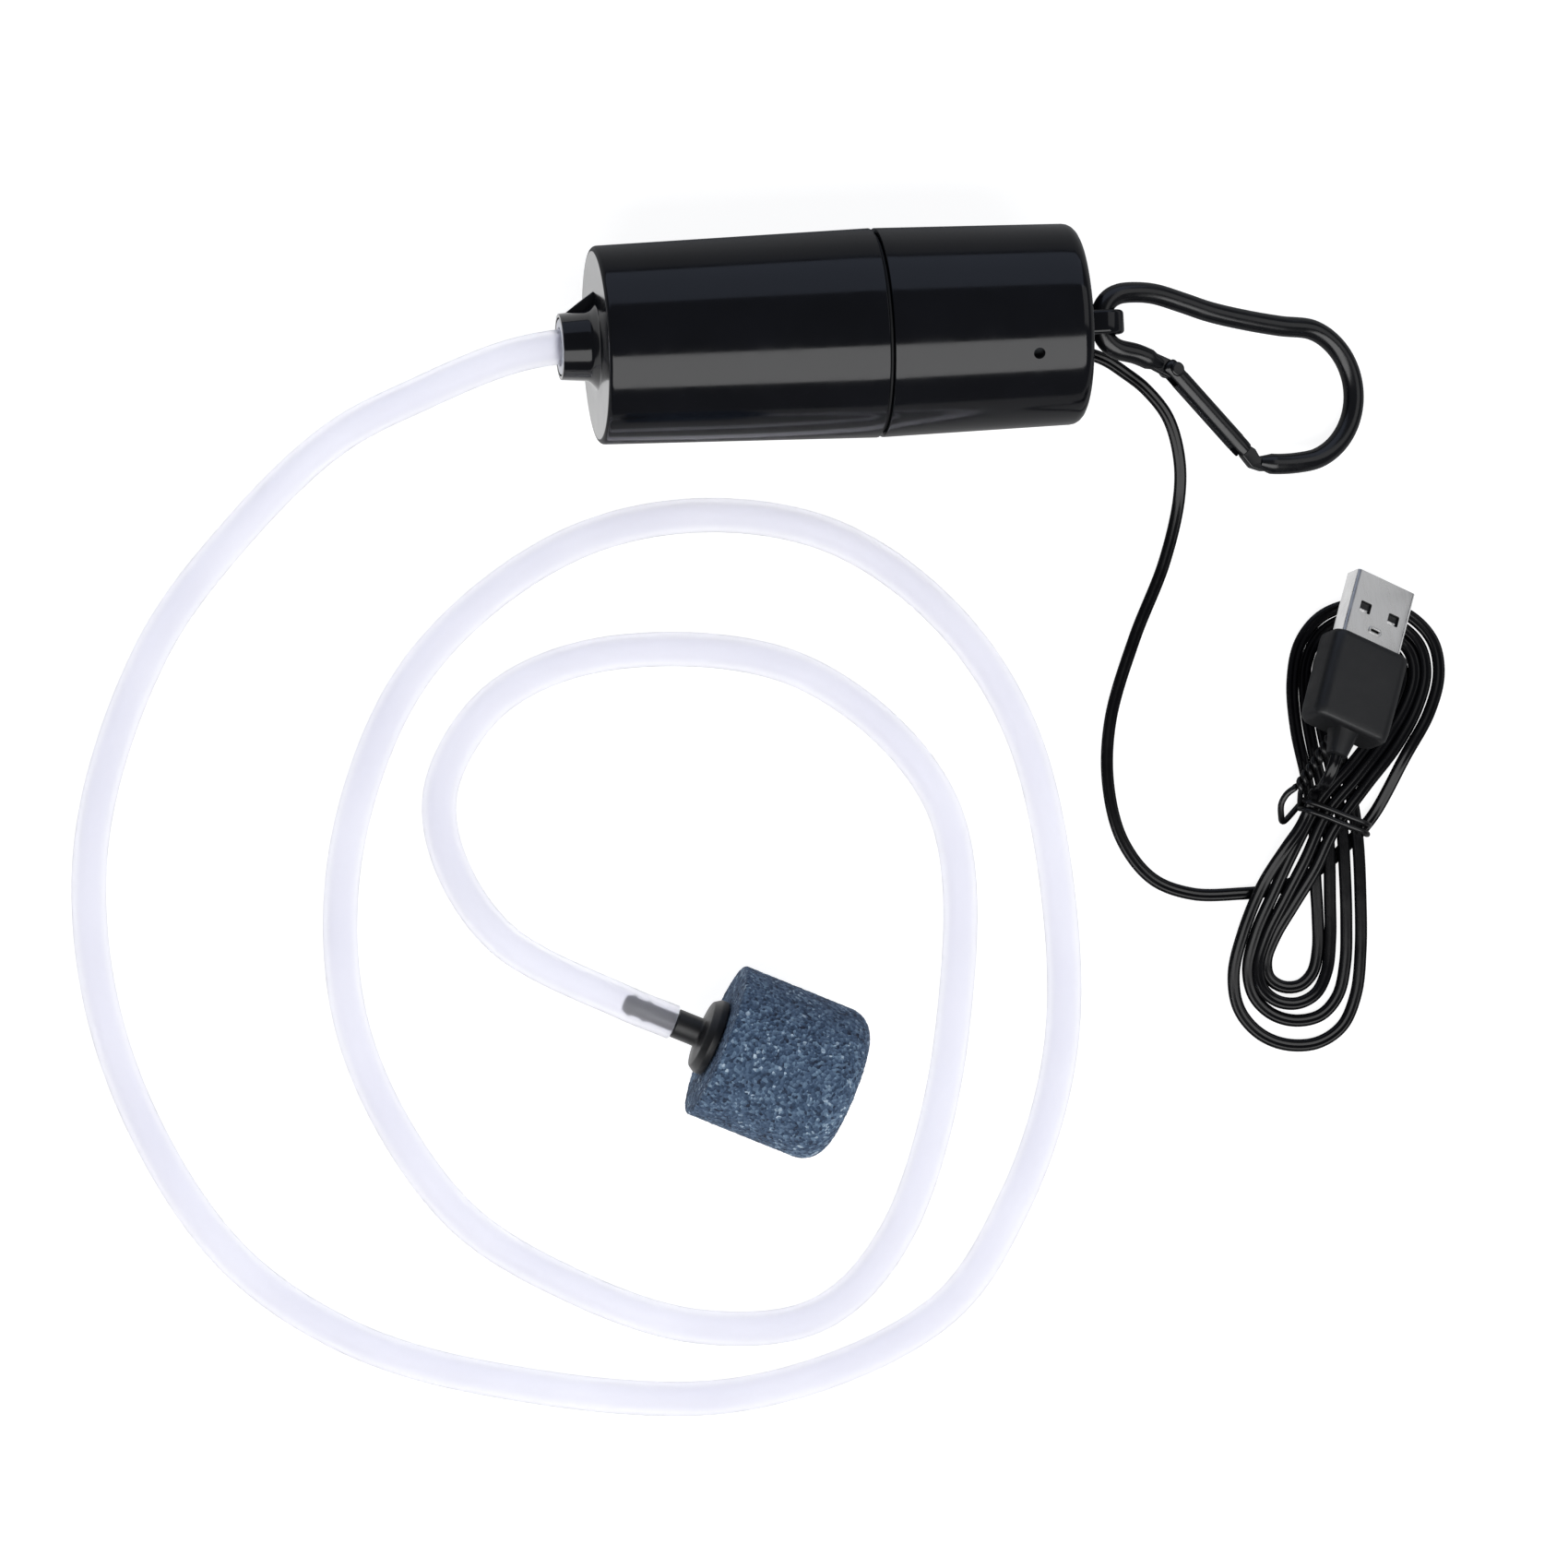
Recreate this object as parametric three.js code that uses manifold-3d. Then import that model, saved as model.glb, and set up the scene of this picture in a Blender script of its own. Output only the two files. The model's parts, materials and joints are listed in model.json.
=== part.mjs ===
// Small USB air pump for an aquarium: a round two-shell body that holds a three-cup diaphragm
// pump and its motor, with a spring clip, an air hose with a stone, and a USB cord.
// Millimetres, +Z up, +X from the hose end to the cord end. The pump lies on the plane z = 0.
import * as THREE from 'three';
import { mergeVertices } from 'three/addons/utils/BufferGeometryUtils.js';
import Module from 'manifold-3d';

const wasm = await Module();
wasm.setup();

// ---- driving dimensions ----
const GAP = 0.3;
const AXIS_Y = 4.5;
const AXIS_Z = 18;
const FRONT_X = -65.5;
const BODY_LENGTH = 84;
const SEAM = 48.2;
const R_FRONT = 17;
const R_SEAM = 18;
const R_REAR = 17.3;
const WALL = 1.8;
const COLLAR_LENGTH = 6.2;
const COLLAR_R = 5.85;
const SHELL_SIDES = 40;

const HOSE_R = 3;
const HOSE_BORE_R = 2;
const BARB_R = 1.65;
const AIRWAY_R = 0.9;

const CUP_COUNT = 3;
const CUP_RADIUS = 7.5;
const HEAD_R = 14.2;
const SCREW_RADIUS = 12.3;
const SWASH_TILT = THREE.MathUtils.degToRad(8);
const SWASH_PIVOT = 27.6;
const SHAFT_R = 1;

const GROMMET_Y = -4.6;
const GROMMET_Z = -6.2;
const CORD_R = 1.1;

const EYE_REACH = 4;
const EYE_HOLE_R = 2.9;
const EYE_R = 4.1;
const EYE_HALF = 2.1;

const ROD_R = 1.8;
const CLIP_LENGTH = 50.3;
const CLIP_REST_Z = ROD_R + 0.05;
const GATE_OFFSET = 13.7;

const STONE_R = 13.65;
const STONE_LENGTH = 24.5;
const STONE_ANGLE = THREE.MathUtils.degToRad(-25);
const STONE_FACE = new THREE.Vector3(-50.3, -115.3, STONE_R);
const NIPPLE_LENGTH = 9.4;
const STUB_LENGTH = 4.5;
const FLANGE_THICK = 3.2;

const HANK_CENTRE = new THREE.Vector3(60.6, -81.8, 0);
const HANK_TURN = THREE.MathUtils.degToRad(-14.4);
const HANK_HEIGHT = 1.8;

const PLUG_TIP = new THREE.Vector3(72.4, -42.8, 5.6);
const PLUG_YAW = THREE.MathUtils.degToRad(-21.6);
const PLUG_PITCH = THREE.MathUtils.degToRad(-17);
const PLUG_ROLL = THREE.MathUtils.degToRad(14);
const SHELL = { width: 12, height: 4.5, length: 12, wall: 0.4 };
const GRIP = { width: 15.4, height: 7.8, length: 16.5 };
const BOOT_LENGTH = 4.5;

// ---- routes of the hose and the cord, on the plane the pump lies on ----
const HOSE_DROP = [[-81, 3, 18], [-95, -2, 15], [-110, -9, 9], [-127, -24, 4]];
const HOSE_FLOOR = [
  [-143, -44], [-155, -77], [-153, -111], [-137, -145], [-117, -162], [-90, -172], [-47, -177],
  [-12, -165], [2, -147], [11, -124], [13, -100], [8, -66], [-4, -45], [-23, -30], [-45, -25],
  [-67, -28], [-88, -40], [-102, -56], [-112, -84], [-111, -113], [-96, -142], [-77, -156],
  [-54, -165], [-33, -164], [-19, -151], [-7, -115], [-7, -77], [-30, -53], [-64, -48], [-84, -55],
  [-94, -69],
];
const HOSE_RISE = [[-94, -81, 5], [-86, -96, 10]];
const HOSE_FLOOR_Z = HOSE_R + 0.1;
const CORD_DROP = [
  [24, -1.5, 11.5], [28, -4, 10], [32, -7, 8], [36, -12, 6], [38, -19, 4], [38, -26, 2],
];
const CORD_FLOOR = [
  [35, -37], [29, -50], [24, -64], [23, -75], [25, -85], [30, -92], [37, -95],
];
const CORD_FLOOR_Z = CORD_R + 0.1;
const CORD_END = [45.5, -95.4];

// ---- materials ----
const finish = (color, roughness, metalness = 0) =>
  new THREE.MeshStandardMaterial({ color, roughness, metalness });
const materials = {
  gloss_black: finish(0x111216, 0.18),
  clip_black: finish(0x131418, 0.25),
  matte_black: finish(0x18191c, 0.6),
  cord_black: finish(0x0d0d10, 0.25),
  tie_black: finish(0x101012, 0.35),
  hose_clear: finish(0xe4e6f2, 0.2),
  ring_grey: finish(0xc4c6cd, 0.35),
  stone_blue: finish(0x4a607a, 0.95),
  nickel: finish(0xb8b8b8, 0.25, 1),
  steel: finish(0xa8abb0, 0.3, 1),
  brass: finish(0xc9a24b, 0.35, 1),
  copper: finish(0xb86b3c, 0.35, 1),
  head_white: finish(0xe6e6e2, 0.45),
  rubber_black: finish(0x17181a, 0.8),
  silicone: finish(0xdedad2, 0.5),
  foam: finish(0x55585c, 0.95),
  magnet: finish(0x3b3d42, 0.6),
  wire_red: finish(0xa81f1c, 0.45),
};

// ---- helpers ----
const v3 = (x, y, z) => new THREE.Vector3(x, y, z);

function signedVolume(geometry) {
  const p = geometry.attributes.position;
  const index = geometry.index;
  const a = v3();
  const b = v3();
  const c = v3();
  let volume = 0;
  for (let i = 0; i < index.count; i += 3) {
    a.fromBufferAttribute(p, index.getX(i));
    b.fromBufferAttribute(p, index.getX(i + 1));
    c.fromBufferAttribute(p, index.getX(i + 2));
    volume += a.dot(b.cross(c));
  }
  return volume;
}

// One closed body: merged vertices, no flat triangles, faces pointing out.
function tidy(source) {
  const bare = source.index ? source.toNonIndexed() : source.clone();
  for (const name of Object.keys(bare.attributes)) {
    if (name !== 'position') bare.deleteAttribute(name);
  }
  const merged = mergeVertices(bare, 1e-4);
  const old = merged.index.array;
  const kept = [];
  for (let i = 0; i < old.length; i += 3) {
    const [a, b, c] = [old[i], old[i + 1], old[i + 2]];
    if (a !== b && b !== c && c !== a) kept.push(a, b, c);
  }
  merged.setIndex(kept);
  if (signedVolume(merged) < 0) {
    for (let i = 0; i < kept.length; i += 3) [kept[i + 1], kept[i + 2]] = [kept[i + 2], kept[i + 1]];
    merged.setIndex(kept);
  }
  return merged;
}

function solid(source) {
  const g = tidy(source);
  return new wasm.Manifold(new wasm.Mesh({
    numProp: 3,
    vertProperties: new Float32Array(g.attributes.position.array),
    triVerts: new Uint32Array(g.index.array),
  }));
}

function geometryOf(manifold) {
  const mesh = manifold.getMesh();
  const g = new THREE.BufferGeometry();
  g.setAttribute('position', new THREE.BufferAttribute(new Float32Array(mesh.vertProperties), 3));
  g.setIndex(Array.from(mesh.triVerts));
  return g;
}

// The first geometry with the others joined to it or cut from it.
const joined = (first, ...others) =>
  geometryOf(others.reduce((sum, g) => sum.add(solid(g)), solid(first)));
const cut = (first, ...others) =>
  geometryOf(others.reduce((rest, g) => rest.subtract(solid(g)), solid(first)));

// A body turned about +X from [along, radius] pairs. A ring's outline closes on itself.
function turned(profile, segments = 24) {
  const points = profile.map(([a, r]) => new THREE.Vector2(r, a));
  const onAxis = profile[0][1] === 0 && profile[profile.length - 1][1] === 0;
  if (!onAxis) points.push(points[0].clone());
  return new THREE.LatheGeometry(points, segments).rotateZ(-Math.PI / 2);
}

const ring = (from, to, inner, outer, segments = 24) =>
  turned([[from, inner], [from, outer], [to, outer], [to, inner]], segments);
const disc = (from, to, radius, segments = 24) =>
  turned([[from, 0], [from, radius], [to, radius], [to, 0]], segments);
const box = (x, y, z, cx = 0, cy = 0, cz = 0) =>
  new THREE.BoxGeometry(x, y, z).translate(cx, cy, cz);
// A hole or pin along +X whose middle line passes (y, z).
const rodX = (from, to, radius, y, z, segments = 12) =>
  disc(from, to, radius, segments).translate(0, y, z);

const around = (count, start, radius) => Array.from({ length: count }, (_, i) => {
  const angle = start + (i * 2 * Math.PI) / count;
  return { angle, y: radius * Math.cos(angle), z: radius * Math.sin(angle) };
});
const cupPlaces = around(CUP_COUNT, Math.PI / 2, CUP_RADIUS);
const screwPlaces = around(CUP_COUNT, -Math.PI / 2, SCREW_RADIUS);

function tube(points, radius, sides, steps) {
  const curve = new THREE.CatmullRomCurve3(points, false, 'centripetal');
  const section = new THREE.Shape();
  for (let i = 0; i < sides; i += 1) {
    const angle = (i * 2 * Math.PI) / sides;
    const [x, y] = [radius * Math.cos(angle), radius * Math.sin(angle)];
    if (i === 0) section.moveTo(x, y);
    else section.lineTo(x, y);
  }
  section.closePath();
  return new THREE.ExtrudeGeometry(section, { extrudePath: curve, steps });
}

function plate(outline, thickness, holes = []) {
  const shape = new THREE.Shape(outline.map(([x, y]) => new THREE.Vector2(x, y)));
  for (const [x, y, r] of holes) {
    shape.holes.push(new THREE.Path().absarc(x, y, r, 0, 2 * Math.PI, true));
  }
  return new THREE.ExtrudeGeometry(shape, {
    depth: thickness, bevelEnabled: false, curveSegments: 6,
  }).translate(0, 0, -thickness / 2);
}

const object = new THREE.Group();
const pump = new THREE.Group();
pump.position.set(FRONT_X, AXIS_Y, AXIS_Z);
object.add(pump);

function add(parent, name, material, geometry) {
  const mesh = new THREE.Mesh(tidy(geometry), materials[material]);
  mesh.name = name;
  parent.add(mesh);
  return mesh;
}

// ---- the two shells of the pump ----
const outerRadius = (a) => (a < SEAM
  ? THREE.MathUtils.mapLinear(a, 0, SEAM, R_FRONT, R_SEAM)
  : THREE.MathUtils.mapLinear(a, SEAM, BODY_LENGTH, R_SEAM, R_REAR));

function frontShell() {
  const body = turned([
    [-COLLAR_LENGTH, 5.05], [-COLLAR_LENGTH, COLLAR_R - 0.3], [-COLLAR_LENGTH + 0.3, COLLAR_R],
    [-1.6, COLLAR_R + 0.2], [-0.5, COLLAR_R + 0.8], [0, COLLAR_R + 2],
    [0, R_FRONT - 0.8], [0.25, R_FRONT - 0.25], [0.8, R_FRONT],
    [SEAM, R_SEAM], [SEAM, R_SEAM - WALL], [2, R_FRONT - WALL], [2, 3.35],
    [-4, 3.35], [-4, 5.05],
  ], SHELL_SIDES);
  const gusset = plate([[-4.5, COLLAR_R - 1], [-4.5, COLLAR_R], [0.5, 9.3], [0.5, COLLAR_R - 1]], 1.6);
  return joined(body, gusset);
}

// The rear shell is a cup: a turned wall with its lip, and an end plate on the axis.
function rearShell() {
  const a0 = SEAM + 0.8;
  const end = BODY_LENGTH;
  const profile = [
    [end - 2, 0], [end - 2, R_REAR - WALL - 1.2], [end - 3.2, R_REAR - WALL],
    [a0 + 0.6, R_SEAM - WALL - 0.3], [a0 - 0.2, 14.7], [SEAM - 3.7, 14.7], [SEAM - 3.7, 15.7],
    [a0, 15.7], [a0, outerRadius(a0)], [end - 2, R_REAR], [end - 0.6, R_REAR - 0.6],
    [end, R_REAR - 2], [end, 0],
  ];
  const intakeTilt = THREE.MathUtils.degToRad(18.5);
  const intake = new THREE.CylinderGeometry(1, 1, 8, 12)
    .rotateX(Math.PI / 2).translate(0, 0, 17).rotateX(intakeTilt).translate(74, 0, 0);
  const eyeSlot = box(6, 2 * (EYE_HALF + GAP), 7, end - 1, 0, 0);
  const cordHole = rodX(end - 4, end + 2, 2.3, GROMMET_Y, GROMMET_Z, 16);
  return cut(turned(profile, SHELL_SIDES), intake, eyeSlot, cordHole);
}

add(pump, 'front_shell', 'gloss_black', frontShell());
add(pump, 'rear_shell', 'gloss_black', rearShell());
add(pump, 'seam_gasket', 'rubber_black', ring(SEAM + 0.2, SEAM + 0.6, 16.1, 17.2, SHELL_SIDES));

// ---- the air outlet, from the hose back to the pump head ----
const collarTip = -COLLAR_LENGTH;
add(pump, 'outlet_ring', 'ring_grey', ring(collarTip, -4.3, 3.35, 4.75, 32));
add(pump, 'outlet_fitting', 'head_white', turned([
  [-5, AIRWAY_R], [-5, 1.35], [-4.2, BARB_R], [-0.9, BARB_R], [-0.9, 3.05], [2.3, 3.05],
  [2.3, 4.4], [3.3, 4.4], [3.3, BARB_R], [6.5, BARB_R], [6.5, AIRWAY_R],
], 20));
add(pump, 'link_tube', 'silicone', ring(3.6, 10.5, 1.95, 3, 20));

// ---- the pump head: cover, valves, diaphragm and its holder ----
const screwHoles = (from, to) => screwPlaces.map(({ y, z }) => rodX(from, to, 1.25, y, z, 10));

function headCover() {
  const body = turned([
    [7.5, AIRWAY_R], [7.5, BARB_R], [12, BARB_R], [12, HEAD_R], [16, HEAD_R], [16, 4],
    [13.5, 4], [13.5, AIRWAY_R],
  ], 24);
  return cut(body, ...screwHoles(11, 17));
}
add(pump, 'head_cover', 'head_white', headCover());
add(pump, 'outlet_valve', 'rubber_black', turned([
  [16.1, 0], [16.1, 2.6], [16.5, 3.2], [16.7, 3.2], [16.7, 0.8], [18.6, 0.8], [18.6, 0],
], 16));
const stemHoles = cupPlaces.map(({ y, z }) => rodX(16, 20, 1.1, y, z, 10));
add(pump, 'valve_plate', 'head_white', cut(
  disc(17, 19.5, HEAD_R), rodX(16, 20, 1.1, 0, 0, 10), ...stemHoles, ...screwHoles(16, 20),
));
cupPlaces.forEach(({ y, z }, i) => {
  add(pump, `inlet_valve_${i + 1}`, 'rubber_black', turned([
    [17.6, 0], [17.6, 0.8], [19.7, 0.8], [19.7, 2.4], [20, 2.4], [20.2, 1.8], [20.2, 0],
  ], 12).translate(0, y, z));
});

function diaphragm() {
  const cups = cupPlaces.map(({ y, z }) => turned([
    [20.9, 0], [20.9, 4.3], [24.6, 4], [25.4, 3], [25.6, 1], [29.7, 1], [30, 1.6], [30.8, 1.6],
    [31.2, 0.8], [31.2, 0],
  ], 10).translate(0, y, z));
  const hollows = cupPlaces.map(({ y, z }) => turned([
    [20, 0], [20, 3.5], [24, 3.2], [24.6, 2.2], [24.6, 0],
  ], 10).translate(0, y, z));
  let body = solid(disc(20.6, 21.6, HEAD_R));
  for (const cup of cups) body = body.add(solid(cup));
  for (const hollow of [...hollows, ...screwHoles(20, 22)]) body = body.subtract(solid(hollow));
  return geometryOf(body);
}
add(pump, 'diaphragm', 'rubber_black', diaphragm());
add(pump, 'diaphragm_holder', 'head_white', cut(
  disc(21.9, 23.9, HEAD_R), ...cupPlaces.map(({ y, z }) => rodX(21, 25, 4.8, y, z, 16)),
  ...screwHoles(21, 25),
));
screwPlaces.forEach(({ y, z }, i) => {
  add(pump, `head_screw_${i + 1}`, 'steel', turned([
    [10.7, 0], [10.7, 1.7], [11.7, 1.7], [11.7, 0.9], [23.7, 0.9], [23.7, 0],
  ], 10).translate(0, y, z));
});

// ---- crank housing, swash plate and crank ----
add(pump, 'crank_housing', 'matte_black', turned([
  [24.2, 11.9], [24.2, 13.3], [37.2, 13.3], [37.2, 1.5], [35.9, 1.5], [35.9, 11.9],
], 28));

// The swash plate leans 8 degrees and swings round the pivot as the crank carries its pin.
const leanAtPivot = (geometry) => geometry
  .translate(-SWASH_PIVOT, 0, 0).rotateY(SWASH_TILT).translate(SWASH_PIVOT, 0, 0);
const PIN_END = 32.8;
function swashPlate() {
  const body = turned([
    [27, 0], [27, 9.8], [28.2, 9.8], [28.2, 2], [29, 0.9], [PIN_END, 0.9], [PIN_END, 0],
  ], 24);
  return leanAtPivot(cut(body, ...cupPlaces.map(({ y, z }) => rodX(26, 29, 1.5, y, z, 12))));
}
function crank() {
  const pinHole = leanAtPivot(rodX(26, PIN_END + 0.4, 1.2, 0, 0, 12));
  const shaftHole = rodX(34, 36, SHAFT_R + GAP, 0, 0, 12);
  return cut(disc(30.6, 35.4, 4.5, 20), pinHole, shaftHole);
}
add(pump, 'swash_plate', 'head_white', swashPlate());
add(pump, 'crank', 'brass', crank());

// ---- the motor ----
const MAGNET_SPAN = THREE.MathUtils.degToRad(130);
function magnet(middle) {
  const shape = new THREE.Shape();
  shape.absarc(0, 0, 10.9, middle - MAGNET_SPAN / 2, middle + MAGNET_SPAN / 2, false);
  shape.absarc(0, 0, 8.9, middle + MAGNET_SPAN / 2, middle - MAGNET_SPAN / 2, true);
  shape.closePath();
  return new THREE.ExtrudeGeometry(shape, { depth: 17, bevelEnabled: false, curveSegments: 8 })
    .rotateY(Math.PI / 2).translate(41, 0, 0);
}
const POLE_COUNT = 3;
function armatureCore() {
  const hub = ring(43, 55, SHAFT_R + GAP, 3, 18);
  const parts = around(POLE_COUNT, 0, 1).map(({ angle }) => {
    const neck = box(12, 4.6, 2.2, 49, 4.7, 0);
    const shoe = cut(ring(43, 55, 6.6, 8.3, 30), box(14, 20, 20, 49, -5.1, 0));
    return joined(neck, shoe).rotateX(angle);
  });
  return joined(hub, ...parts);
}
function winding(angle) {
  return cut(
    box(15.6, 2, 6, 49, 4.6, 0), box(12.6, 4, 2.8, 49, 4.6, 0),
  ).rotateX(angle);
}
add(pump, 'motor_can', 'steel', turned([
  [37.5, 3.2], [37.5, 12.1], [60.5, 12.1], [60.5, 11.2], [38.4, 11.2], [38.4, 3.2],
], 28));
add(pump, 'magnet_upper', 'magnet', magnet(Math.PI / 2));
add(pump, 'magnet_lower', 'magnet', magnet(-Math.PI / 2));
add(pump, 'front_bearing', 'brass', ring(37.6, 40.2, SHAFT_R + GAP, 2.9, 18));
add(pump, 'motor_shaft', 'steel', disc(34.3, 62.9, SHAFT_R, 14));
add(pump, 'armature', 'steel', armatureCore());
around(POLE_COUNT, 0, 1).forEach(({ angle }, i) => {
  add(pump, `winding_${i + 1}`, 'copper', winding(angle));
});
add(pump, 'commutator', 'copper', ring(57.6, 60.3, SHAFT_R + GAP, 2.5, 18));
[1, -1].forEach((side, i) => {
  add(pump, `brush_${i + 1}`, 'copper', box(1.6, 4.6, 1.8, 59.2, side * 5.1, 0));
});
add(pump, 'motor_cap', 'matte_black', turned([
  [60.8, 3.2], [60.8, 12.1], [63.8, 12.1], [63.8, 3.2],
], 28));
add(pump, 'rear_bearing', 'brass', ring(61, 63.6, SHAFT_R + GAP, 2.9, 18));
[1, -1].forEach((side, i) => {
  add(pump, `motor_terminal_${i + 1}`, 'brass', box(3, 2.4, 0.6, 65.6, side * 6, 0));
});
add(pump, 'foam_sleeve', 'foam', ring(38, 60, 12.4, 14.3, 28));
add(pump, 'dust_filter', 'foam', ring(70, 78, 9, 14.8, 28));

// ---- the cord's way into the pump ----
add(pump, 'cord_grommet', 'rubber_black', turned([
  [79.4, CORD_R + 0.2], [79.4, 2.9], [81.7, 2.9], [81.7, 2], [84.3, 2], [84.3, 2.6],
  [85.2, 2.2], [85.2, CORD_R + 0.2],
], 16).translate(0, GROMMET_Y, GROMMET_Z));
[['wire_plus', 'wire_red', 1], ['wire_minus', 'matte_black', -1]].forEach(([name, slot, side]) => {
  const route = [
    v3(67.5, side * 6, 0), v3(70, side * 5.6, -1.4), v3(74, GROMMET_Y / 2 + side * 3, -4),
    v3(78.8, GROMMET_Y + side * 1.1, GROMMET_Z),
  ];
  add(pump, name, slot, tube(route, 0.6, 6, 10));
});

// ---- the moulded eye that the clip hangs in ----
function hangingEye() {
  const end = BODY_LENGTH;
  const centre = end + EYE_REACH;
  const shape = new THREE.Shape();
  shape.moveTo(end - 3, -3.2);
  shape.lineTo(end + 0.4, -3.2);
  shape.absarc(centre, 0, EYE_R, -1.7, 1.7, false);
  shape.lineTo(end + 0.4, 3.2);
  shape.lineTo(end - 3, 3.2);
  shape.closePath();
  shape.holes.push(new THREE.Path().absarc(centre, 0, EYE_HOLE_R, 0, 2 * Math.PI, true));
  const eye = new THREE.ExtrudeGeometry(shape, {
    depth: 2 * EYE_HALF, bevelEnabled: false, curveSegments: 14,
  }).translate(0, 0, -EYE_HALF).rotateX(Math.PI / 2);
  return joined(eye, box(1.3, 8.4, 9, end - 3, 0, 0));
}
add(pump, 'hanging_eye', 'gloss_black', cut(
  hangingEye(), rodX(BODY_LENGTH - 5, BODY_LENGTH, 3.3, GROMMET_Y, GROMMET_Z, 16),
));

// ---- the spring clip, in its own plane, leaning from the eye to the ground ----
const clip = new THREE.Group();
clip.position.set(FRONT_X + BODY_LENGTH + EYE_REACH, AXIS_Y, AXIS_Z);
clip.rotation.y = Math.asin((AXIS_Z - CLIP_REST_Z) / CLIP_LENGTH);
object.add(clip);

const NARROW_R = 5;
const WIDE = { x: 38.4, y: -13.4, r: 11.9 };
const GATE_PIVOT = [GATE_OFFSET, -8.5];
const NOSE = [28, -23.6];
const TAIL_DIRECTION = THREE.MathUtils.degToRad(-25);
const gateAngle = Math.atan2(NOSE[1] - GATE_PIVOT[1], NOSE[0] - GATE_PIVOT[0]);
const gateLength = Math.hypot(NOSE[0] - GATE_PIVOT[0], NOSE[1] - GATE_PIVOT[1]) - 0.8;
const atPivot = (g) => g.rotateZ(gateAngle).translate(GATE_PIVOT[0], GATE_PIVOT[1], 0);

function clipBody() {
  const points = [];
  const tailBack = 3;
  points.push([
    GATE_PIVOT[0] - tailBack * Math.cos(TAIL_DIRECTION),
    GATE_PIVOT[1] - tailBack * Math.sin(TAIL_DIRECTION),
  ]);
  points.push([7, -5.6]);
  for (let degrees = 245; degrees >= 100; degrees -= 24) {
    const angle = THREE.MathUtils.degToRad(degrees > 170 && degrees < 190 ? 180 : degrees);
    points.push([NARROW_R + NARROW_R * Math.cos(angle), NARROW_R * Math.sin(angle)]);
  }
  points.push([7.6, 5.1], [11.2, 4.7], [16.6, 3.1], [21.9, 1.4], [29, -0.2], [36, -1.4]);
  for (let degrees = 70; degrees >= -90; degrees -= 20) {
    const angle = THREE.MathUtils.degToRad(degrees);
    points.push([WIDE.x + WIDE.r * Math.cos(angle), WIDE.y + WIDE.r * Math.sin(angle)]);
  }
  points.push([33.4, -25.4]);
  const rod = tube(points.map(([x, y]) => v3(x, y, 0)), ROD_R, 8, 50);
  const tongueOutline = [[-4.4, -1.4], [0, -1.5], [1.1, -1.1], [1.5, 0], [1.1, 1.1], [0, 1.5], [-4.4, 1.4]];
  const tongue = plate(tongueOutline, 1.5)
    .rotateZ(TAIL_DIRECTION).translate(GATE_PIVOT[0], GATE_PIVOT[1], 0);
  const nose = plate([
    [34, -26.6], [30.6, -26.5], [28.6, -25.6], [26.6, -23.6], [27.6, -21.4], [29.4, -22.6],
    [29.9, -24], [34, -24.2],
  ], 1.5);
  const rivetHole = new THREE.CylinderGeometry(0.95, 0.95, 6, 12)
    .rotateX(Math.PI / 2).translate(GATE_PIVOT[0], GATE_PIVOT[1], 0);
  return cut(joined(rod, tongue, nose), rivetHole);
}

const GATE = { width: 3.5, thick: 3.6, slot: 2.1 };
function clipGate() {
  const bar = plate([
    [-1.9, -1], [-1.2, -GATE.width / 2], [gateLength, -GATE.width / 2], [gateLength, GATE.width / 2],
    [-1.2, GATE.width / 2], [-1.9, 1],
  ], GATE.thick);
  const pivotSlot = box(5, 6, GATE.slot, -0.1, 0, 0);
  const noseSlot = box(5, 6, GATE.slot, gateLength, 0, 0);
  const rivetHole = new THREE.CylinderGeometry(0.95, 0.95, 6, 12).rotateX(Math.PI / 2);
  return atPivot(cut(bar, pivotSlot, noseSlot, rivetHole));
}

function clipRivet() {
  const half = GATE.thick / 2 + GAP;
  return turned([
    [-half - 0.5, 0], [-half - 0.5, 1.3], [-half, 1.5], [-half, 0.65], [half, 0.65],
    [half, 1.5], [half + 0.5, 1.3], [half + 0.5, 0],
  ], 14).rotateY(-Math.PI / 2).translate(GATE_PIVOT[0], GATE_PIVOT[1], 0);
}
add(clip, 'clip_body', 'clip_black', clipBody());
add(clip, 'clip_gate', 'clip_black', clipGate());
add(clip, 'clip_rivet', 'clip_black', clipRivet());

// ---- the air stone at the end of the hose ----
const stone = new THREE.Group();
stone.position.copy(STONE_FACE);
stone.rotation.z = STONE_ANGLE;
object.add(stone);
add(stone, 'air_stone', 'stone_blue', turned([
  [0, 2.2], [0, STONE_R - 0.3], [0.3, STONE_R], [STONE_LENGTH - 2, STONE_R],
  [STONE_LENGTH - 0.6, STONE_R - 0.7], [STONE_LENGTH, STONE_R - 2.4], [STONE_LENGTH, 0],
  [STONE_LENGTH - 6, 0], [STONE_LENGTH - 6, 2.2],
].reverse(), 40));
const stubEnd = -FLANGE_THICK - STUB_LENGTH;
add(stone, 'stone_nipple', 'matte_black', turned([
  [stubEnd - NIPPLE_LENGTH, AIRWAY_R], [stubEnd - NIPPLE_LENGTH, 1.3],
  [stubEnd - NIPPLE_LENGTH + 1.2, 1.6], [stubEnd, 1.6], [stubEnd, 2.55],
  [-FLANGE_THICK, 2.55], [-FLANGE_THICK + 0.8, 6.2], [-1.4, 6.7], [-GAP, 6.7], [-GAP, 1.8],
  [14, 1.8], [14, AIRWAY_R],
], 24));

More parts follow.
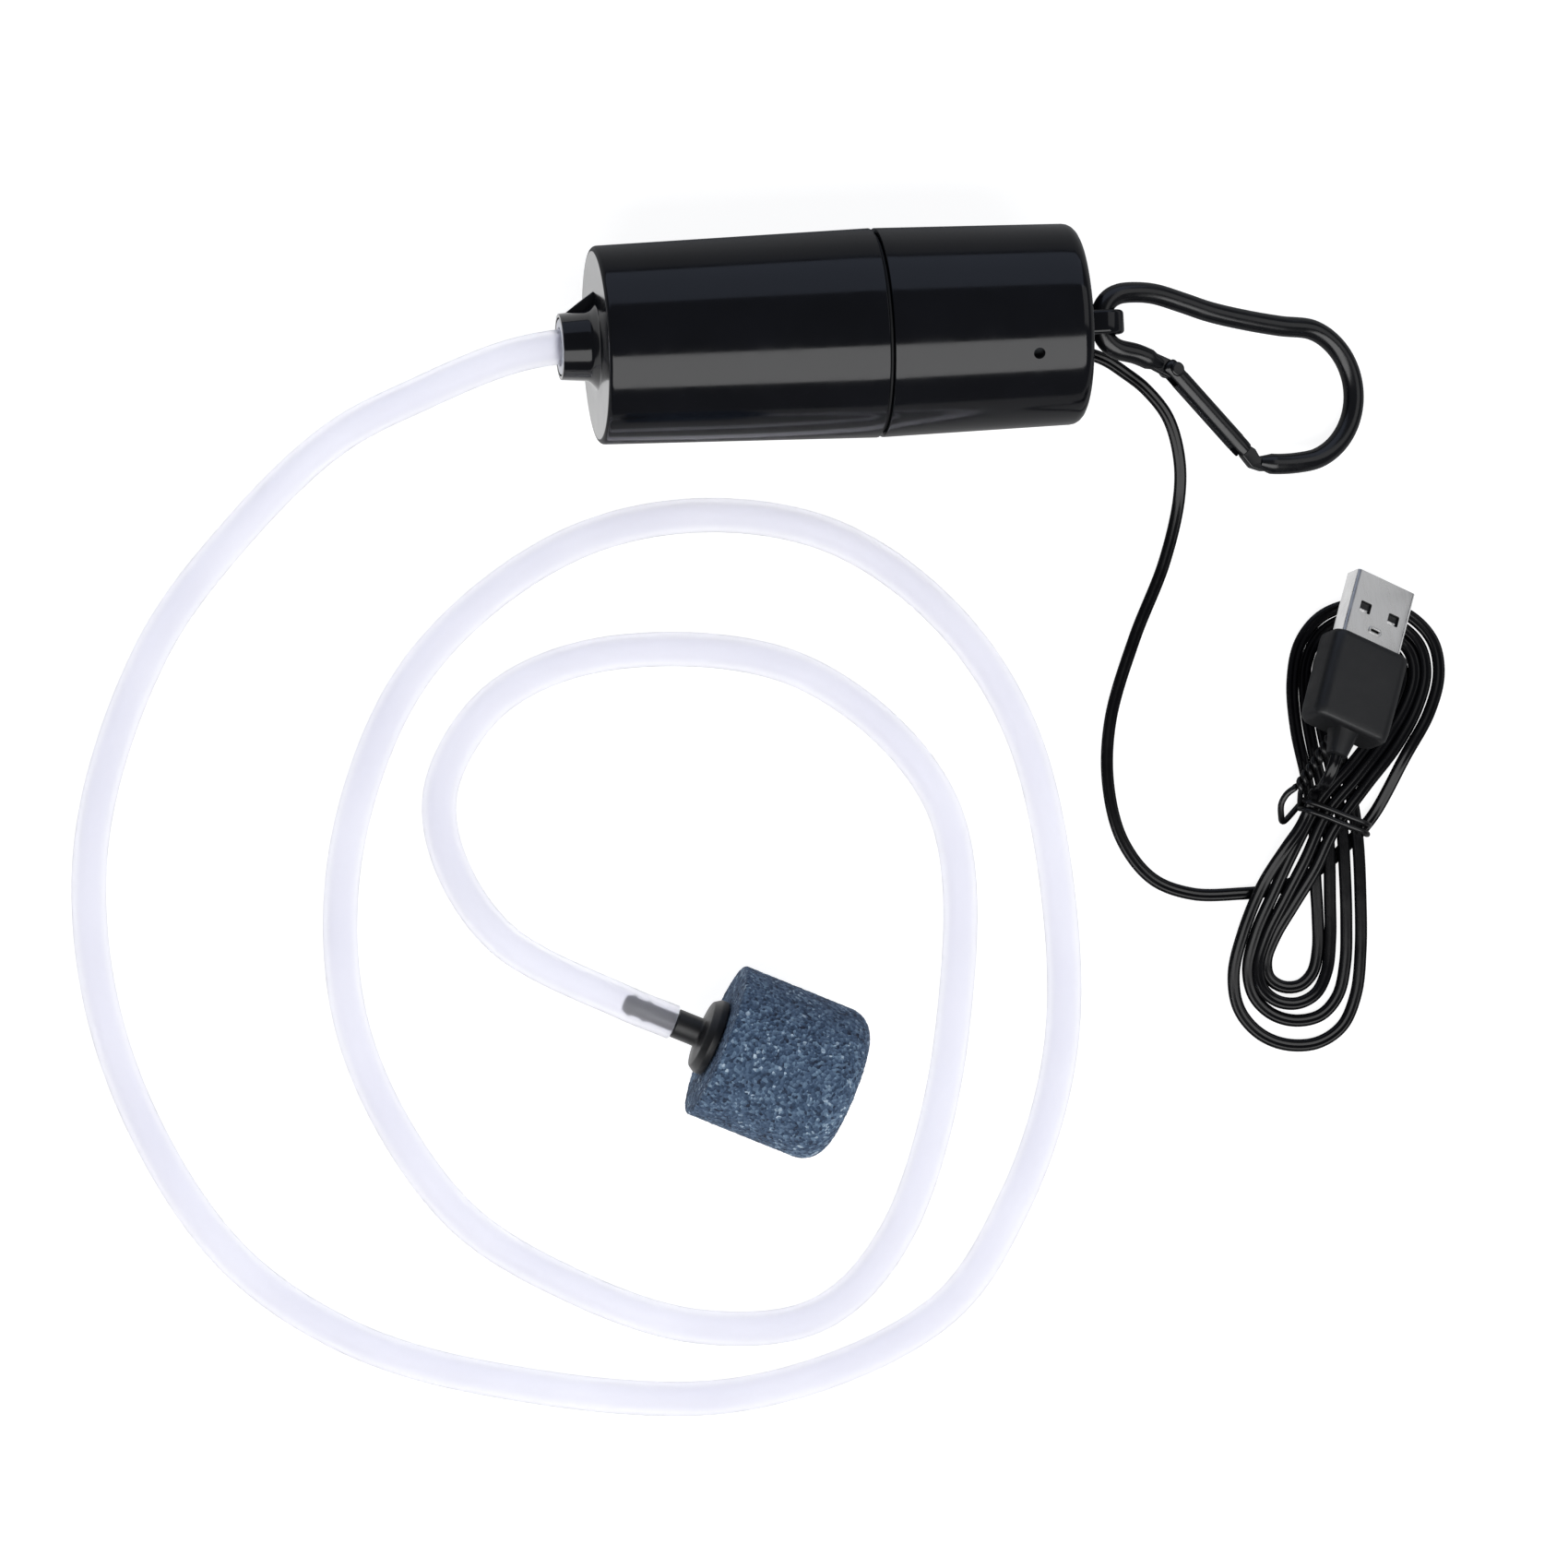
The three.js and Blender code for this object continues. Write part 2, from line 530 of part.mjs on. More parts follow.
// ---- the hose ----
const hoseDirection = v3(Math.cos(STONE_ANGLE), Math.sin(STONE_ANGLE), 0);
const hoseEnd = STONE_FACE.clone().addScaledVector(hoseDirection, stubEnd - GAP);
function hose() {
  const points = [
    v3(FRONT_X - COLLAR_LENGTH - GAP, AXIS_Y, AXIS_Z),
    ...HOSE_DROP.map(([x, y, z]) => v3(x, y, z)),
    ...HOSE_FLOOR.map(([x, y]) => v3(x, y, HOSE_FLOOR_Z)),
    ...HOSE_RISE.map(([x, y, z]) => v3(x, y, z)),
    hoseEnd.clone().addScaledVector(hoseDirection, -NIPPLE_LENGTH),
    hoseEnd,
  ];
  const bore = disc(-NIPPLE_LENGTH - 0.6, 1, HOSE_BORE_R + 0.1, 12)
    .rotateZ(STONE_ANGLE).translate(hoseEnd.x, hoseEnd.y, hoseEnd.z);
  return cut(tube(points, HOSE_R, 8, 76), bore);
}
add(object, 'air_hose', 'hose_clear', hose());

// ---- the cord's free run ----
const exitX = FRONT_X + 85.2 + GAP;
add(object, 'usb_cord', 'cord_black', tube([
  v3(exitX, AXIS_Y + GROMMET_Y, AXIS_Z + GROMMET_Z),
  ...CORD_DROP.map(([x, y, z]) => v3(x, y, z)),
  ...CORD_FLOOR.map(([x, y]) => v3(x, y, CORD_FLOOR_Z)),
  v3(CORD_END[0], CORD_END[1], CORD_FLOOR_Z),
], CORD_R, 8, 28));

// ---- the figure-eight hank, as one solid outline ----
// Across and along the hank at an angle round the figure of eight, 0 at the top of it.
// blunt makes a lobe's end rounder; lean carries the upper lobe sideways.
const LOBE = {
  top: { length: 37.5, width: 12.6, blunt: 0.5 },
  bottom: { length: 40.5, width: 10.9, blunt: 1.5 },
  waist: 3.9,
  lean: 3.4,
};
function outlinePoint(angle, grow) {
  const c = Math.cos(angle);
  const lobe = c > 0 ? LOBE.top : LOBE.bottom;
  const round = (1 + lobe.blunt * c * c) / (1 + lobe.blunt / 2);
  const side = Math.sign(c) * Math.sin(2 * angle) * (lobe.width * round + grow);
  const lean = c > 0 ? LOBE.lean * c * c : 0;
  return [side + LOBE.waist * Math.sin(angle) + lean, c * (lobe.length + grow)];
}
const hank = new THREE.Group();
hank.position.copy(HANK_CENTRE);
hank.rotation.z = HANK_TURN;
object.add(hank);
const WAIST = { half: 5, long: 3.4, bottom: 1.5, top: 5.6 };
function hankSolid() {
  const lobe = (from, to) => Array.from({ length: 19 }, (_, i) =>
    outlinePoint(THREE.MathUtils.degToRad(from + ((to - from) * i) / 18), 1.2));
  const outline = [
    ...lobe(84, -84), [-WAIST.half, WAIST.long / 2], [-WAIST.half, -WAIST.long / 2],
    ...lobe(264, 96), [WAIST.half, -WAIST.long / 2], [WAIST.half, WAIST.long / 2],
  ];
  const thick = HANK_HEIGHT - 0.1;
  const lobes = plate(outline, thick).translate(0, 0, 0.1 + thick / 2);
  const knot = box(2 * WAIST.half, 12, WAIST.top - 0.5, 0, 0, (WAIST.top + 0.5) / 2);
  const under = box(30, WAIST.long, 2 * WAIST.bottom, 0, 0, 0);
  return cut(joined(lobes, knot), under);
}
add(hank, 'usb_cord_hank', 'cord_black', hankSolid());

function twistTie() {
  const inner = WAIST.half + GAP;
  const outer = inner + 1.1;
  const [low, high] = [WAIST.bottom - GAP - 1.1, WAIST.top + GAP + 1.1];
  const shape = new THREE.Shape([
    [-outer, low + 0.8], [-outer + 0.8, low], [outer - 0.8, low], [outer, low + 0.8],
    [outer, high - 0.8], [outer - 0.8, high], [-outer + 0.8, high], [-outer, high - 0.8],
  ].map(([x, y]) => new THREE.Vector2(x, y)));
  shape.holes.push(new THREE.Path([
    [-inner, low + 1.1], [-inner, high - 1.1], [inner, high - 1.1], [inner, low + 1.1],
  ].map(([x, y]) => new THREE.Vector2(x, y))));
  return new THREE.ExtrudeGeometry(shape, { depth: 2.4, bevelEnabled: false })
    .rotateX(Math.PI / 2).translate(0, 1.2, 0);
}
add(hank, 'twist_tie', 'tie_black', twistTie());

// ---- the USB plug on the hank: +Y is its nose, +Z its upper face ----
const plug = new THREE.Group();
plug.position.copy(PLUG_TIP);
plug.rotation.set(PLUG_PITCH, PLUG_ROLL, PLUG_YAW, 'ZXY');
object.add(plug);
const rear = -SHELL.length - GRIP.length;

function plugShell() {
  const { width, height, length, wall } = SHELL;
  const inside = length + 1.6;
  const outer = box(width, inside, height, 0, -inside / 2, 0);
  const bore = box(width - 2 * wall, inside + 2, height - 2 * wall, 0, -inside / 2, 0);
  const windows = [-1, 1].flatMap((side) => [-1, 1].map((face) =>
    box(2.2, 2, 1.4, side * 2.9, -6.2, (face * height) / 2)));
  return cut(outer, bore, ...windows);
}
add(plug, 'plug_shell', 'nickel', plugShell());
add(plug, 'plug_tongue', 'matte_black', box(10.6, 11.6, 1.8, 0, -7.4, 0.7));
for (let i = 0; i < 4; i += 1) {
  add(plug, `plug_contact_${i + 1}`, 'brass', box(1, 7.6, 0.3, (i - 1.5) * 2.2, -6.2, -0.65));
}

function plugGrip() {
  const { width, height, length } = GRIP;
  const side = 1.6;
  const [w, h] = [width / 2, height / 2];
  const body = plate([
    [-w, -h + side], [-w + side, -h], [w - side, -h], [w, -h + side],
    [w, h - side], [w - side, h], [-w + side, h], [-w, h - side],
  ], length - GAP).rotateX(Math.PI / 2).translate(0, -SHELL.length - GAP / 2 - length / 2, 0);
  const socket = box(SHELL.width + 2 * GAP, 2.4, SHELL.height + 2 * GAP, 0, -SHELL.length - 0.9, 0);
  const boot = new THREE.CylinderGeometry(2.6, 1.7, BOOT_LENGTH + 1, 14)
    .translate(0, rear - (BOOT_LENGTH - 1) / 2, 0);
  return joined(cut(body, socket), boot);
}
add(plug, 'plug_grip', 'matte_black', plugGrip());

// ---- the cord's last stretch: out of the plug, over in an arch and down into the hank ----
plug.updateMatrixWorld(true);
const TAIL_BEND = 4.6;
const bootMouth = v3(0, rear - BOOT_LENGTH - GAP, 0).applyMatrix4(plug.matrixWorld);
const bootOut = v3(0, -1, 0).transformDirection(plug.matrixWorld);
function tail() {
  const flat = v3(bootOut.x, bootOut.y, 0).normalize();
  const rise = Math.asin(bootOut.z);
  const up = v3(0, 0, 1);
  const centre = bootMouth.clone()
    .addScaledVector(flat, TAIL_BEND * Math.sin(rise)).addScaledVector(up, -TAIL_BEND * Math.cos(rise));
  const points = [-rise, 0, Math.PI / 8, Math.PI / 4, (3 * Math.PI) / 8, Math.PI / 2].map((turn) =>
    centre.clone().addScaledVector(flat, TAIL_BEND * Math.sin(turn))
      .addScaledVector(up, TAIL_BEND * Math.cos(turn)));
  const last = points[points.length - 1];
  points.push(v3(last.x, last.y, WAIST.top + GAP + 0.1));
  return tube(points, CORD_R, 8, 12);
}
add(object, 'usb_cord_tail', 'cord_black', tail());

export default object;
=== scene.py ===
"""Looks of a small USB aquarium air pump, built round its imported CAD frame.

Lengths are in millimetres in the code and become metres as each mesh is made.
"""
import json
import math

import bmesh
import bpy
from mathutils import Matrix, Vector, noise


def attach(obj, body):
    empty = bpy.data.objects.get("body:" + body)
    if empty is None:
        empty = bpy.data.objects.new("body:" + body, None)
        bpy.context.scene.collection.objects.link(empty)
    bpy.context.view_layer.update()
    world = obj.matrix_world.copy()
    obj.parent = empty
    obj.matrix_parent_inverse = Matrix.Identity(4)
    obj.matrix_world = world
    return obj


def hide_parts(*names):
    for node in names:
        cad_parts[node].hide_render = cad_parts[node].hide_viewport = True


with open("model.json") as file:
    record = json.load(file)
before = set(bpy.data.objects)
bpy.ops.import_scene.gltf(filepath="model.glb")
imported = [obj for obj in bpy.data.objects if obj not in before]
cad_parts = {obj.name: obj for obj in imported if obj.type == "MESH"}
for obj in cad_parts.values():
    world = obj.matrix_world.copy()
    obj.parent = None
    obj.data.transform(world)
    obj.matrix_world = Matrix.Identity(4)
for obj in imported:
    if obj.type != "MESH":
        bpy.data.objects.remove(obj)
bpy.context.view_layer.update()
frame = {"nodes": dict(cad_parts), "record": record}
nodes = frame["nodes"]
MM = 0.001

# ---- dimensions shared with the CAD model ----
AXIS = (4.5, 18.0)
FRONT_X = -65.5
LENGTH = 84.0
SEAM = 48.2
REAR_START = 49.0
R_FRONT, R_SEAM, R_REAR = 17.0, 18.0, 17.3
COLLAR = 6.2
COLLAR_R = 5.85
GROMMET = (-4.6, -6.2)
HOSE_R, HOSE_BORE = 3.0, 2.0
HOSE_FLOOR_Z = 3.1
STONE_FACE = Vector((-50.3, -115.3, 13.65))
STONE_ANGLE = math.radians(-25)
STONE_R, STONE_LENGTH = 13.65, 24.5
NIPPLE, STUB, FLANGE = 9.4, 4.5, 3.2
CLIP_PITCH = math.asin((18 - 1.85) / 50.3)
CLIP_ORIGIN = Vector((22.5, AXIS[0], AXIS[1]))
HANK_CENTRE = Vector((60.6, -81.8, 0))
HANK_TURN = math.radians(-14.4)
PLUG_TIP = Vector((72.4, -42.8, 5.6))
PLUG_TURN, PLUG_PITCH, PLUG_ROLL = math.radians(-21.6), math.radians(-17), math.radians(14)
PLUG_MOUTH = Vector((0, -33, 0))
CORD_WIDE, CORD_THICK = 2.2, 1.3
CORD_Z = 0.85

pump_matrix = Matrix.Translation((FRONT_X, AXIS[0], AXIS[1]))
clip_matrix = Matrix.Translation(CLIP_ORIGIN) @ Matrix.Rotation(CLIP_PITCH, 4, "Y")
stone_matrix = Matrix.Translation(STONE_FACE) @ Matrix.Rotation(STONE_ANGLE, 4, "Z")
hank_matrix = Matrix.Translation(HANK_CENTRE) @ Matrix.Rotation(HANK_TURN, 4, "Z")
plug_matrix = (
    Matrix.Translation(PLUG_TIP)
    @ Matrix.Rotation(PLUG_TURN, 4, "Z")
    @ Matrix.Rotation(PLUG_PITCH, 4, "X")
    @ Matrix.Rotation(PLUG_ROLL, 4, "Y")
)


# ---- camera ----
TARGET = Vector((-34, -72.1, 0)) * MM
BACK = Vector((-0.1564, 0, 0.9877))
RIGHT0 = Vector((0.9877, 0, 0.1564))
UP0 = Vector((0, 1, 0))
ROLL = math.radians(3)
DISTANCE = 1.6
FRAME_WIDTH = 0.272
SENSOR = 36
right = RIGHT0 * math.cos(ROLL) - UP0 * math.sin(ROLL)
up = RIGHT0 * math.sin(ROLL) + UP0 * math.cos(ROLL)
camera_data = bpy.data.cameras.new("camera")
camera_data.sensor_width = SENSOR
camera_data.lens = SENSOR * DISTANCE / FRAME_WIDTH
camera_data.clip_end = 20
camera = bpy.data.objects.new("camera", camera_data)
bpy.context.scene.collection.objects.link(camera)
camera.matrix_world = Matrix.Translation(TARGET + BACK * DISTANCE) @ Matrix(
    (
        (right.x, up.x, BACK.x, 0),
        (right.y, up.y, BACK.y, 0),
        (right.z, up.z, BACK.z, 0),
        (0, 0, 0, 1),
    )
)
bpy.context.scene.camera = camera
bpy.context.scene.view_settings.view_transform = "Standard"


# ---- materials ----
def srgb(*values):
    return tuple(
        c / 12.92 if c <= 0.04045 else ((c + 0.055) / 1.055) ** 2.4
        for c in (v / 255 for v in values)
    ) + (1.0,)


class Nodes:
    """A small helper that adds and links shader nodes."""

    def __init__(self, name):
        self.material = bpy.data.materials.new(name)
        self.material.use_nodes = True
        self.tree = self.material.node_tree
        self.shader = self.tree.nodes["Principled BSDF"]
        coordinates = self.tree.nodes.new("ShaderNodeTexCoord")
        self.place = coordinates.outputs["Object"]

    def add(self, kind, **inputs):
        node = self.tree.nodes.new(kind)
        for key, value in inputs.items():
            if key[0].islower():
                setattr(node, key, value)
                continue
            socket = node.inputs[key.replace("_", " ")]
            if hasattr(value, "node"):
                self.tree.links.new(value, socket)
            else:
                socket.default_value = value
        return node

    def noise(self, scale, detail=3.0, roughness=0.55, vector=None):
        return self.add(
            "ShaderNodeTexNoise",
            Vector=vector or self.place,
            Scale=scale,
            Detail=detail,
            Roughness=roughness,
        ).outputs["Fac"]

    def remap(self, value, low, high, start=0.3, end=0.7):
        node = self.add(
            "ShaderNodeMapRange",
            Value=value,
            From_Min=start,
            From_Max=end,
            To_Min=low,
            To_Max=high,
        )
        return node.outputs["Result"]

    def ramp(self, value, *stops):
        node = self.add("ShaderNodeValToRGB", Fac=value)
        elements = node.color_ramp.elements
        while len(elements) < len(stops):
            elements.new(0.5)
        for element, (position, colour) in zip(elements, stops):
            element.position = position
            element.color = colour
        return node.outputs["Color"]

    def stretched(self, x, y, z, turn=(0, 0, 0)):
        node = self.add("ShaderNodeMapping", Vector=self.place)
        node.inputs["Rotation"].default_value = turn
        node.inputs["Scale"].default_value = (x, y, z)
        return node.outputs["Vector"]

    def bump(self, height, strength, distance, normal=None):
        node = self.add(
            "ShaderNodeBump", Height=height, Strength=strength, Distance=distance
        )
        if normal:
            self.tree.links.new(normal, node.inputs["Normal"])
        return node.outputs["Normal"]

    def link(self, output, socket):
        self.tree.links.new(output, self.shader.inputs[socket])

    def set(self, **values):
        for key, value in values.items():
            self.shader.inputs[key.replace("_", " ")].default_value = value


def scaled(colour, factor):
    return tuple(min(1.0, c * factor) for c in colour[:3]) + (1.0,)


def moulded(name, colour, rough, vary=0.05, grain=0.0, waviness=0.0, **settings):
    """Moulded plastic or rubber: mottled colour, uneven polish, and a fine texture."""
    n = Nodes(name)
    n.link(
        n.ramp(n.noise(90), (0.3, scaled(colour, 0.85)), (0.7, scaled(colour, 1.2))),
        "Base Color",
    )
    n.link(n.remap(n.noise(260, 4), rough - vary, rough + vary), "Roughness")
    normal = None
    if waviness:
        normal = n.bump(n.noise(55, 2), waviness, 0.0006)
    if grain:
        normal = n.bump(n.noise(5200, 3), grain, 0.0001, normal)
    if normal:
        n.link(normal, "Normal")
    n.set(**settings)
    return n.material


def metal(name, colour, rough, lines=(1, 1, 1), turn=(0, 0, 0), strength=0.12):
    """Metal with fine drawing lines along its weakly scaled axis."""
    n = Nodes(name)
    fine = n.noise(900, 5, 0.65, n.stretched(*lines, turn=turn))
    n.link(
        n.ramp(fine, (0.3, scaled(colour, 0.86)), (0.7, scaled(colour, 1.12))),
        "Base Color",
    )
    n.link(n.remap(fine, rough - 0.07, rough + 0.1), "Roughness")
    n.link(n.bump(fine, strength, 0.00005), "Normal")
    n.set(Metallic=1.0)
    return n.material


GRAIN_SHADE = 0.72


def air_stone_material():
    """Sintered mineral grit: blue grains with lighter and darker ones among them."""
    n = Nodes("air_stone_grit")
    cells = n.add("ShaderNodeTexVoronoi", Vector=n.place, Scale=1900.0, Randomness=1.0)
    shade = n.add("ShaderNodeSeparateColor", Color=cells.outputs["Color"]).outputs["Red"]
    mixed = n.add("ShaderNodeMath", operation="MULTIPLY_ADD")
    n.tree.links.new(shade, mixed.inputs[0])
    mixed.inputs[1].default_value = GRAIN_SHADE
    n.tree.links.new(n.remap(n.noise(420, 3), 0.0, 0.28), mixed.inputs[2])
    n.link(
        n.ramp(
            mixed.outputs["Value"],
            (0.08, srgb(26, 38, 58)),
            (0.3, srgb(51, 72, 98)),
            (0.62, srgb(75, 96, 122)),
            (0.84, srgb(104, 128, 152)),
            (0.96, srgb(186, 204, 220)),
        ),
        "Base Color",
    )
    n.link(n.bump(cells.outputs["Distance"], 0.9, 0.0004), "Normal")
    n.set(Roughness=0.92)
    return n.material


def hose_material():
    """Milky clear silicone: soft, slightly lavender, with a smooth wet-looking skin."""
    n = Nodes("hose_milky")
    n.link(
        n.ramp(
            n.noise(45, 3), (0.3, srgb(245, 245, 251)), (0.7, srgb(249, 249, 254))
        ),
        "Base Color",
    )
    n.link(n.remap(n.noise(160, 3), 0.3, 0.4), "Roughness")
    n.set(Transmission_Weight=0.88, IOR=1.15)
    return n.material


SHELL_BLACK = srgb(12, 13, 17)
LOOKS = {
    "gloss_black": moulded("gloss_black", SHELL_BLACK, 0.12, 0.03, 0.0, 0.04, IOR=1.42),
    "clip_black": moulded("clip_black", srgb(10, 11, 14), 0.22, 0.06, 0.02, 0.05),
    "matte_black": moulded("matte_black", srgb(14, 15, 17), 0.44, 0.06, 0.25),
    "cord_black": moulded("cord_black", srgb(5, 5, 7), 0.2, 0.05, 0.03, 0.1, IOR=1.36),
    "tie_black": moulded("tie_black", srgb(8, 8, 10), 0.28, 0.08, 0.1, 0.1),
    # ring_grey: its light grey is a painted reflection, standing in for the light that the outlet
    # collar's tip face reflects
    "ring_grey": moulded("ring_grey", srgb(196, 198, 205), 0.35, 0.06, 0.04),
    "head_white": moulded("head_white", srgb(228, 228, 223), 0.42, 0.05, 0.06),
    "rubber_black": moulded("rubber_black", srgb(20, 21, 23), 0.72, 0.08, 0.3),
    "silicone": moulded("silicone", srgb(222, 218, 210), 0.45, 0.06, 0.05),
    "foam": moulded("foam", srgb(84, 87, 91), 0.93, 0.05, 1.0),
    "magnet": moulded("magnet", srgb(58, 60, 65), 0.55, 0.08, 0.3),
    "wire_red": moulded("wire_red", srgb(166, 30, 27), 0.4, 0.06, 0.05),
    "nickel": metal("nickel", srgb(196, 196, 196), 0.3, (1, 0.04, 1), (0, 0, -0.377)),
    "steel": metal("steel", srgb(170, 173, 178), 0.3, (0.05, 1, 1)),
    "brass": metal("brass", srgb(203, 163, 76), 0.33, (0.05, 1, 1)),
    "copper": metal("copper", srgb(184, 108, 60), 0.36, (1, 0.1, 1)),
    "hose_clear": hose_material(),
    "stone_blue": air_stone_material(),
}


# ---- mesh helpers ----
def face_outwards(mesh):
    work = bmesh.new()
    work.from_mesh(mesh)
    bmesh.ops.recalc_face_normals(work, faces=work.faces)
    work.to_mesh(mesh)
    work.free()


def band(a, b, count):
    """The quads between two rings of points, whose indices start at a and b."""
    return [[a + k, a + (k + 1) % count, b + (k + 1) % count, b + k] for k in range(count)]


def piece(name, verts, faces, slot, body, replaces=(), matrix=None, sharp=40):
    """A mesh piece from millimetre vertices, smooth-shaded, that rides on a body."""
    mesh = bpy.data.meshes.new(name)
    placed = [(matrix @ Vector(v) if matrix else Vector(v)) * MM for v in verts]
    mesh.from_pydata(placed, [], faces)
    face_outwards(mesh)
    mesh.shade_smooth()
    mesh.set_sharp_from_angle(angle=math.radians(sharp))
    mesh.materials.append(LOOKS[slot])
    thing = bpy.data.objects.new(name, mesh)
    bpy.context.scene.collection.objects.link(thing)
    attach(thing, body)
    if replaces:
        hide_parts(*replaces)
    return thing


def rounded(corners, steps=5):
    """A 2D outline whose corners, given as (x, y, radius), become arcs."""
    out = []
    count = len(corners)
    for i, corner in enumerate(corners):
        here = Vector(corner[:2])
        radius = corner[2] if len(corner) > 2 else 0
        if not radius:
            out.append(here)
            continue
        before = (Vector(corners[i - 1][:2]) - here).normalized()
        after = (Vector(corners[(i + 1) % count][:2]) - here).normalized()
        half = before.angle(after) / 2
        reach = radius / math.tan(half)
        start, end = here + before * reach, here + after * reach
        centre = here + (before + after).normalized() * (radius / math.sin(half))
        first = start - centre
        turn = first.angle_signed(end - centre)
        for k in range(steps + 1):
            angle = -turn * k / steps
            out.append(
                centre
                + Vector(
                    (
                        first.x * math.cos(angle) - first.y * math.sin(angle),
                        first.x * math.sin(angle) + first.y * math.cos(angle),
                    )
                )
            )
    return [tuple(p) for p in out]


def lathe(outline, segments=144, closed=True):
    """(verts, faces) of a closed (along, radius) outline turned round +X."""
    verts, rows = [], []
    for along, radius in outline:
        if radius < 1e-6:
            rows.append([len(verts)] * segments)
            verts.append((along, 0, 0))
            continue
        rows.append(list(range(len(verts), len(verts) + segments)))
        for k in range(segments):
            angle = 2 * math.pi * k / segments
            verts.append((along, radius * math.cos(angle), radius * math.sin(angle)))
    faces = []
    for i in range(len(rows) if closed else len(rows) - 1):
        a, b = rows[i], rows[(i + 1) % len(rows)]
        for k in range(segments):
            m = (k + 1) % segments
            corners = []
            for index in (a[k], a[m], b[m], b[k]):
                if index not in corners:
                    corners.append(index)
            if len(corners) > 2:
                faces.append(corners)
    return verts, faces


def densified(outline, longest=3.0):
    """The outline with its long straight runs cut into shorter ones."""
    out = []
    for i, point in enumerate(outline):
        following = outline[(i + 1) % len(outline)]
        gap = math.dist(point, following)
        parts = max(1, math.ceil(gap / longest))
        for k in range(parts):
            t = k / parts
            out.append(tuple(a + (b - a) * t for a, b in zip(point, following)))
    return out


def between(points, times, a, b, u):
    """The point at time u on the straight line through two timed points."""
    return (points[a] * (times[b] - u) + points[b] * (u - times[a])) / (times[b] - times[a])


def catmull(points, step):
    """A centripetal Catmull-Rom line through the points, cut every step."""
    points = [Vector(p) for p in points]
    ends = [2 * points[0] - points[1]] + points + [2 * points[-1] - points[-2]]
    line = [points[0].copy()]
    for i in range(1, len(ends) - 2):
        p = ends[i - 1 : i + 3]
        t = [0.0]
        for a, b in zip(p, p[1:]):
            t.append(t[-1] + math.sqrt((b - a).length))
        pieces = max(2, math.ceil((p[2] - p[1]).length / step))
        for k in range(1, pieces + 1):
            u = t[1] + (t[2] - t[1]) * k / pieces
            first, second, third = (between(p, t, m, m + 1, u) for m in range(3))
            lower = between((first, second), (t[0], t[2]), 0, 1, u)
            higher = between((second, third), (t[1], t[3]), 0, 1, u)
            line.append(between((lower, higher), (t[1], t[2]), 0, 1, u))
    return line


ALL_ALONG = math.inf


def frames_along(line, upright_until=-1):
    """(tangent, side, lift) at each point. Side is level as far as point upright_until."""
    tangents = []
    for i in range(len(line)):
        a, b = line[max(0, i - 1)], line[min(len(line) - 1, i + 1)]
        tangents.append((b - a).normalized())
    out = []
    side = None
    for i, tangent in enumerate(tangents):
        if side is None or i <= upright_until:
            side = Vector((0, 0, 1)).cross(tangent).normalized()
        else:
            side = (side - tangent * side.dot(tangent)).normalized()
        out.append((tangent, side, tangent.cross(side)))
    return out


def sweep(line, section, frames, widths=None):
    """(verts, faces) of a closed section, [(side, lift)], carried along a line."""
    verts, faces = [], []
    count = len(section)
    for i, (point, (_, side, lift)) in enumerate(zip(line, frames)):
        grow = widths[i] if widths else 1.0
        for s, t in section:
            verts.append(point + side * s * grow + lift * t * grow)
        if i:
            faces += band((i - 1) * count, i * count, count)
    faces.append(list(range(count))[::-1])
    faces.append(list(range(len(verts) - count, len(verts))))
    return verts, faces


def circle(radius, sides=24):
    turns = [2 * math.pi * k / sides for k in range(sides)]
    return [(radius * math.cos(a), radius * math.sin(a)) for a in turns]


def slab(outline, half, edge=0.3, holes=(), steps=3):
    """(verts, faces) of an outline in XY, 2 * half thick, with rounded rims."""
    curve = bpy.data.curves.new("slab", "CURVE")
    curve.dimensions = "2D"
    curve.fill_mode = "BOTH"
    for loop in [outline, *holes]:
        spline = curve.splines.new("POLY")
        spline.points.add(len(loop) - 1)
        for point, (x, y) in zip(spline.points, loop):
            point.co = (x, y, 0, 1)
        spline.use_cyclic_u = True
    curve.extrude = half - edge
    curve.bevel_depth = edge
    curve.bevel_resolution = steps
    curve.offset = -edge
    holder = bpy.data.objects.new("slab", curve)
    bpy.context.scene.collection.objects.link(holder)
    graph = bpy.context.evaluated_depsgraph_get()
    mesh = bpy.data.meshes.new_from_object(holder.evaluated_get(graph))
    work = bmesh.new()
    work.from_mesh(mesh)
    bmesh.ops.remove_doubles(work, verts=work.verts, dist=0.01)
    verts = [tuple(v.co) for v in work.verts]
    work.verts.index_update()
    faces = [[v.index for v in f.verts] for f in work.faces]
    work.free()
    bpy.data.objects.remove(holder)
    bpy.data.meshes.remove(mesh)
    bpy.data.curves.remove(curve)
    return verts, faces


def carve(target, *cutters):
    """Cuts closed millimetre solids, (verts, faces, matrix), out of a finished piece."""
    for verts, faces, matrix in cutters:
        mesh = bpy.data.meshes.new("cutter")
        mesh.from_pydata([(matrix @ Vector(v)) * MM for v in verts], [], faces)
        face_outwards(mesh)
        tool = bpy.data.objects.new("cutter", mesh)
        bpy.context.scene.collection.objects.link(tool)
        modifier = target.modifiers.new("cut", "BOOLEAN")
        modifier.operation = "DIFFERENCE"
        modifier.solver = "EXACT"
        modifier.object = tool
        graph = bpy.context.evaluated_depsgraph_get()
        result = bpy.data.meshes.new_from_object(target.evaluated_get(graph))
        target.modifiers.clear()
        old = target.data
        target.data = result
        result.name = old.name
        bpy.data.meshes.remove(old)
        bpy.data.objects.remove(tool)
        bpy.data.meshes.remove(mesh)
    target.data.shade_smooth()
    target.data.set_sharp_from_angle(angle=math.radians(32))


